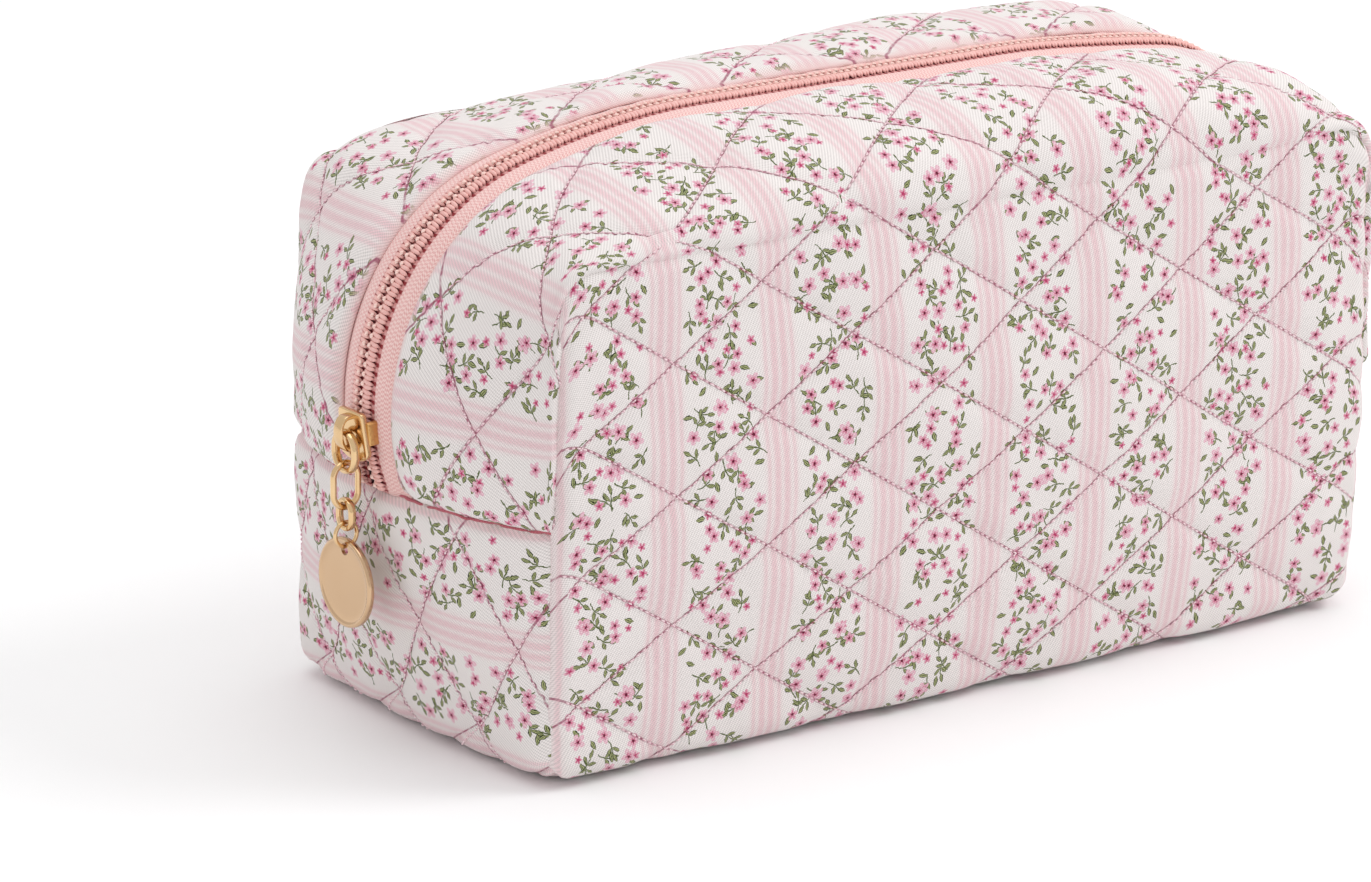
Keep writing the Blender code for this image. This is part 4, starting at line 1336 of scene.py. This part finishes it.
def make_disc():
    """Blank polished disc with a raised rim on both faces and a hole for the ring."""
    profile = [
        (0, 0.36), (6.6, 0.38), (7.7, 0.42), (7.95, 0.5), (8.1, 0.66), (8.35, 0.7), (8.65, 0.68),
        (8.84, 0.5), (8.9, 0.2),
    ]
    profile += [(radius, -height) for radius, height in reversed(profile)]
    steps = 96
    points = []
    for radius, height in profile[1:-1]:
        for k in range(steps):
            turn = 2 * math.pi * k / steps
            z = DISC_CENTRE_Z + radius * math.sin(turn)
            points.append((CHAIN_X - height, radius * math.cos(turn), z))
    rows = len(profile) - 2
    faces = ring_faces(rows, steps)
    faces.append(tuple(range(steps)))
    faces.append(tuple(reversed(range((rows - 1) * steps, rows * steps))))
    disc = add_mesh("gold_pull_disc", points, faces, materials["disc"])
    ring = [
        (CHAIN_X + x, HOLE_RADIUS * math.cos(a), HOLE_Z + HOLE_RADIUS * math.sin(a))
        for x in (-3, 3) for a in np.linspace(0, 2 * math.pi, 33)[:-1]
    ]
    sides = [(k, (k + 1) % 32, 32 + (k + 1) % 32, 32 + k) for k in range(32)]
    caps = [tuple(reversed(range(32))), tuple(range(32, 64))]
    drill = add_mesh("drill", ring, sides + caps, materials["disc"], smooth=False)
    cut = disc.modifiers.new("hole", "BOOLEAN")
    cut.operation, cut.object, cut.solver = "DIFFERENCE", drill, "EXACT"
    apply_modifiers(disc)
    bpy.data.objects.remove(drill, do_unlink=True)
    disc.data.set_sharp_from_angle(angle=math.radians(40))
    joined_to(disc, "pull_disc", "gold", "pull_disc")


# ---------------------------------------------------------------- lining and bindings
def lining_sheet(name, points):
    """Thin wavy sheet from a grid of world points, with flat coordinates in millimetres."""
    columns, rows = points.shape[:2]
    along = np.linalg.norm(np.diff(points[:, rows // 2], axis=0), axis=1)
    across = np.linalg.norm(np.diff(points[columns // 2], axis=0), axis=1)
    u = np.concatenate([[0], np.cumsum(along)])[:, None] + np.zeros((1, rows))
    v = np.concatenate([[0], np.cumsum(across)])[None, :] + np.zeros((columns, 1))
    flat = np.stack([u, v], axis=-1).reshape(-1, 2)
    normal = grid_normals(points)
    turned = (normal * (points - BAG_MIDDLE)).sum() < 0
    made = add_mesh(
        name, points.reshape(-1, 3), grid_faces(columns, rows, turned).tolist(), materials["lining"],
        uv_maps=[("cloth", flat)],
    )
    thick = made.modifiers.new("thickness", "SOLIDIFY")
    thick.thickness, thick.offset = LINING_THICKNESS * MM, -1
    apply_modifiers(made)
    return made


def set_in(points, inset, seed):
    """The grid moved into the bag, with the slack waves of loose lining."""
    normal = outward_normals(points)
    wave = soft_noise(points, 16.0, seed) * 0.5
    return points - normal * (inset + wave)[..., None]


def line_top(end, side):
    """Lining of one quarter of the top, with a flap hanging inside the fold."""
    run = np.concatenate([[-0.8], np.linspace(0, RUN_END - 3.0, 44)])[:, None]
    share = np.linspace(0.01, 1, 16)[None, :] ** 1.6
    y = edge_y(np.abs(run)) * (1 - share) + (ZIP_EDGE_Y + 1.0) * share
    quarter = top_surface(np.abs(run) + 0 * y, y, end)
    quarter[0, :, 0] *= -1
    hung = set_in(settled(mirrored(quarter, end, side)), LINING_INSET, 23)
    flap = [hung[:, :1] + np.array([0, -side * 0.12 * fall, -fall]) for fall in (6.0, 4.0, 2.0)]
    name = END_NAMES[end] + "_" + SIDE_NAMES[side]
    made = lining_sheet(name + "_top_lining", np.concatenate([*flap, hung], axis=1))
    nodes = [END_NAMES[end] + "_lining_" + SIDE_NAMES[side]]
    if end == LEFT:
        nodes.append(SIDE_NAMES[side] + "_lip_lining")
    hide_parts(*nodes)
    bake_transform(made)


def make_lining():
    s = np.linspace(-0.985, 0.985, 56)[:, None]
    h = np.linspace(6.0, SHOULDER_Z - 0.6, 34)[None, :]
    for side in (FRONT, BACK):
        points = settled(mirrored(side_surface(s + 0 * h, h + 0 * s), 1, side))
        name = SIDE_NAMES[side] + "_lining"
        made = lining_sheet(name + "_cloth", set_in(points, LINING_INSET, 21))
        joined_to(made, "bag", "lining", name)
    s = np.linspace(-0.93, 0.93, 26)[:, None]
    h = np.linspace(6.0, 48.0, 14)[None, :]
    for end in (LEFT, RIGHT):
        points = settled(mirrored(end_surface(s + 0 * h, h + 0 * s), end, 1))
        name = END_NAMES[end] + "_lining"
        made = lining_sheet(name + "_cloth", set_in(points, LINING_INSET, 22))
        joined_to(made, "bag", "lining", name + "_lower")
        for side in (FRONT, BACK):
            line_top(end, side)
    x, y = np.meshgrid(np.linspace(-92, 92, 50), np.linspace(-37, 37, 22), indexing="ij")
    z = 3.0 + 0.4 * soft_noise(np.stack([x, y, 0 * x], axis=-1), 16.0, 24)
    made = lining_sheet("base_lining_cloth", np.stack([x, y, z], axis=-1))
    joined_to(made, "bag", "lining", "base_lining")


def bound_seam(name, path, inward, across):
    """Folded tape over a seam allowance: a rounded flat strip along path, standing along inward."""
    profile = []
    for k in range(16):
        turn = 2 * math.pi * k / 16
        reach = np.sign(math.cos(turn)) * abs(math.cos(turn)) ** 0.35 * 3.0
        profile.append((reach, math.sin(turn) * 0.75))
    rows = []
    for k, (at, push, wide) in enumerate(zip(path, inward, across)):
        sway = 0.35 * math.sin(k * 0.8)
        rows.append([at + push * a + wide * (b + sway * (a + 3) / 6) for a, b in profile])
    rows = np.array(rows)
    columns, count = rows.shape[:2]
    flat = np.stack(np.meshgrid(np.arange(columns) * 3.0, np.arange(count) * 0.8, indexing="ij"), axis=-1)
    faces = [face[::-1] for face in ring_faces(columns, count, capped=True)]
    made = add_mesh(
        "bound_" + name, rows.reshape(-1, 3), faces, materials["binding"],
        uv_maps=[("cloth", flat.reshape(-1, 2))],
    )
    joined_to(made, "bag", "binding", name)


def make_seam_cords():
    """Dark pink rolled edge that shows as a line in each level seam."""
    for end in (LEFT, RIGHT):
        y = np.linspace(-43.5, 43.5, 88)
        x = end * (HALF_LENGTH + END_BULGE * fullness(y, HALF_DEPTH) - 1.1)
        z = END_SEAM_Z + 0.25 * np.sin(y * 0.55) + 0.15 * np.sin(y * 1.3 + end)
        path = settled(np.stack([x, y, z], axis=-1))
        around = np.linspace(0, 2 * math.pi, CORD_SIDES + 1)[:-1]
        outward = np.array([end, 0.0, 0.0])
        up = np.array([0.0, 0.0, 1.0])
        rings = [
            at + (outward * math.cos(a) + up * math.sin(a)) * (0.4 + 0.07 * math.sin(2.1 * k))
            for k, at in enumerate(path) for a in around
        ]
        faces = ring_faces(len(path), CORD_SIDES, capped=True)
        if end == RIGHT:
            faces = [face[::-1] for face in faces]
        flat = [(along, m * 0.4) for along in y for m in range(CORD_SIDES)]
        cord = add_mesh(
            END_NAMES[end] + "_seam_edge", rings, faces, materials["seam_edge"],
            uv_maps=[("cloth", flat)],
        )
        joined_to(cord, "bag", "binding")


def make_bindings():
    for end in (LEFT, RIGHT):
        for side in (FRONT, BACK):
            z = np.linspace(9.0, 90.0, 28)
            path = np.stack([0 * z + end * 93.0, 0 * z + side * 37.4, z], axis=-1)
            push = np.tile(np.array([-end, -side, 0]) / math.sqrt(2), (len(z), 1))
            wide = np.tile(np.array([-side, end, 0]) / math.sqrt(2), (len(z), 1))
            name = END_NAMES[end] + "_" + SIDE_NAMES[side] + "_seam_binding"
            bound_seam(name, path, push, wide)
        y = np.linspace(-35.5, 35.5, 26)
        x = end * (HALF_LENGTH + END_BULGE * fullness(y, HALF_DEPTH) - 7.4)
        path = np.stack([x, y, 0 * y + 50.0], axis=-1)
        push = np.tile(np.array([-end, 0.0, 0.0]), (len(y), 1))
        wide = np.tile(np.array([0.0, 0.0, 1.0]), (len(y), 1))
        name = END_NAMES[end] + "_end_seam_binding"
        bound_seam(name, path, push, wide)


# ---------------------------------------------------------------- scene
materials = {
    "quilt": printed_cotton(),
    "lining": woven("lining_cotton", srgb(240, 205, 204), srgb(214, 160, 162), 0.5),
    "binding": woven("binding_tape", srgb(244, 214, 212), srgb(222, 172, 172), 0.8),
    "seam_edge": woven("seam_edge", srgb(214, 128, 136), srgb(172, 78, 92), 0.6),
    "tape": tape_material(),
    "coil": coil_material(),
    "zip_thread": thread_material("zip_thread", srgb(255, 226, 216), srgb(240, 190, 180)),
    "thread": thread_material("quilting_thread", srgb(252, 232, 234), srgb(214, 160, 176)),
    "gold": gold_material("polished_gold", 0.12, 0.03),
    "cast_gold": gold_material("cast_gold", 0.34, 0.9, srgb(196, 146, 84), srgb(232, 190, 128)),
    # Painted shade: the disc's gold is darker and duller than the other gold, standing in for the
    # shadowed floor that its face reflects.
    "disc": gold_material("disc_gold_painted_shade", 0.16, 0.02, srgb(208, 174, 138), srgb(214, 182, 148)),
}


def dress_quarter(end, side):
    """Cloth, quilting and zip of one quarter of the bag's top."""
    lip = SIDE_NAMES[side] + "_lip"
    name = END_NAMES[end] + "_" + SIDE_NAMES[side]
    quarter = place_in_world(add_top_borders(top_quarter(end, side)), end, side)
    cloth = cloth_object(name + "_top_cloth", [quarter], materials["quilt"])
    low, high = sorted((end * 0.0, end * (RUN_END - 1.5)))
    stitches = quilting_stitches(
        name + "_top_stitches", quarter, (low, high), (SHOULDER_Z, SHOULDER_Z + 38.0),
        materials["thread"],
    )
    tape, coil, sewn = zip_pieces(end, side)
    for piece, kind, part in ((cloth, "end", ""), (tape, "tape", "_tape"), (coil, "coil", "_coil")):
        nodes = [END_NAMES[end] + "_" + kind + "_" + SIDE_NAMES[side]]
        if end == LEFT:
            nodes.append(lip + part)
        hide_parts(*nodes)
    bpy.context.view_layer.update()
    apply_modifiers(tape)
    slots = ((cloth, "quilt"), (stitches, "quilt"), (tape, "tape"), (coil, "coil"), (sewn, "coil"))
    for piece, slot in slots:
        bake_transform(piece)


def dress_body():
    """Front, base, back and lower ends, which stay with the bag."""
    patches = [place_in_world(base_patch())]
    nodes = ["base_panel"]
    ranges = []
    for side in (FRONT, BACK):
        patch = place_in_world(add_side_borders(side_patch(side)), 1, side)
        patches.append(patch)
        nodes.append(SIDE_NAMES[side] + "_panel")
        ranges.append((patch, (-98.5, 98.5), (1.0, SHOULDER_Z - 0.5), SIDE_NAMES[side]))
    for end in (LEFT, RIGHT):
        patch = place_in_world(add_end_borders(end_patch(end)), end, 1)
        patches.append(patch)
        nodes.append(END_NAMES[end] + "_end_lower")
        low, high = sorted((end * 101.0, end * 149.0))
        ranges.append((swapped(patch), (low, high), (-84.0, -1.0), END_NAMES[end] + "_end"))
    cloth = cloth_object("body_cloth", patches, materials["quilt"])
    joined_to(cloth, "bag", "quilt", *nodes)
    for patch, u_range, v_range, name in ranges:
        stitches = quilting_stitches(name + "_stitches", patch, u_range, v_range, materials["thread"])
        joined_to(stitches, "bag", "quilt")


dress_body()
for end in (LEFT, RIGHT):
    for side in (FRONT, BACK):
        dress_quarter(end, side)

make_lining()
make_bindings()
make_seam_cords()
make_slider()
for link in LINKS:
    make_link(*link)
make_disc()


CAMERA_PLACE = (-0.764574, -0.990539, 0.420555)
CAMERA_ROUND, CAMERA_ABOVE, CAMERA_ROLL = (math.radians(angle) for angle in (36.2859, 16.9001, 0.6227))
CAMERA_LENS = 170.678
FLOOR_HALF = 3.0
FLOOR_GAP = 0.0008
SURROUNDINGS = 0.76
# Place, target, size and power
LIGHTS = {
    "key": ((0.9, -0.6, 1.15), (0, 0, 0.05), 0.7, 6.8),
    "overhead": ((-0.1, 0.2, 1.7), (-0.1, 0, 0.05), 1.6, 7.4),
}


def add_camera():
    """Camera from the front left and a little above: turned round, tilted down, then rolled."""
    data = bpy.data.cameras.new("camera")
    data.lens = CAMERA_LENS
    data.sensor_width = 36
    data.clip_start, data.clip_end = 0.01, 20
    camera = bpy.data.objects.new("camera", data)
    bpy.context.collection.objects.link(camera)
    aim = (
        Matrix.Rotation(-CAMERA_ROUND, 4, "Z")
        @ Matrix.Rotation(math.pi / 2 - CAMERA_ABOVE, 4, "X")
        @ Matrix.Rotation(CAMERA_ROLL, 4, "Z")
    )
    camera.matrix_world = Matrix.Translation(CAMERA_PLACE) @ aim
    bpy.context.scene.camera = camera


def area_light(name, place, target, size, power):
    data = bpy.data.lights.new(name, "AREA")
    data.shape = "DISK"
    data.size = size
    data.energy = power
    lamp = bpy.data.objects.new(name, data)
    bpy.context.collection.objects.link(lamp)
    lamp.location = place
    lamp.rotation_mode = "QUATERNION"
    lamp.rotation_quaternion = (Vector(target) - Vector(place)).to_track_quat("-Z", "Y")


def add_stage():
    """Pale floor, white surroundings and soft lights."""
    paint = Paint("pale_floor")
    place = paint.new("ShaderNodeTexCoord").outputs["Object"]
    tone = paint.noise(place, 6.0)
    material = paint.finish(paint.mix(tone, srgb(250, 250, 251), srgb(253, 253, 253)), 0.9, specular=0.1)
    mesh = bpy.data.meshes.new("floor")
    corners = [(x * FLOOR_HALF, y * FLOOR_HALF, 0) for x, y in ((-1, -1), (1, -1), (1, 1), (-1, 1))]
    mesh.from_pydata(corners, [], [(0, 1, 2, 3)])
    mesh.materials.append(material)
    floor = bpy.data.objects.new("floor", mesh)
    bpy.context.collection.objects.link(floor)
    floor.location.z = -FLOOR_GAP
    world = bpy.data.worlds.new("world")
    bpy.context.scene.world = world
    world.use_nodes = True
    background = world.node_tree.nodes["Background"].inputs
    background["Color"].default_value = (1, 1, 1, 1)
    background["Strength"].default_value = SURROUNDINGS
    for name, settings in LIGHTS.items():
        area_light(name, *settings)
    bpy.context.scene.view_settings.view_transform = "Standard"


add_camera()
add_stage()
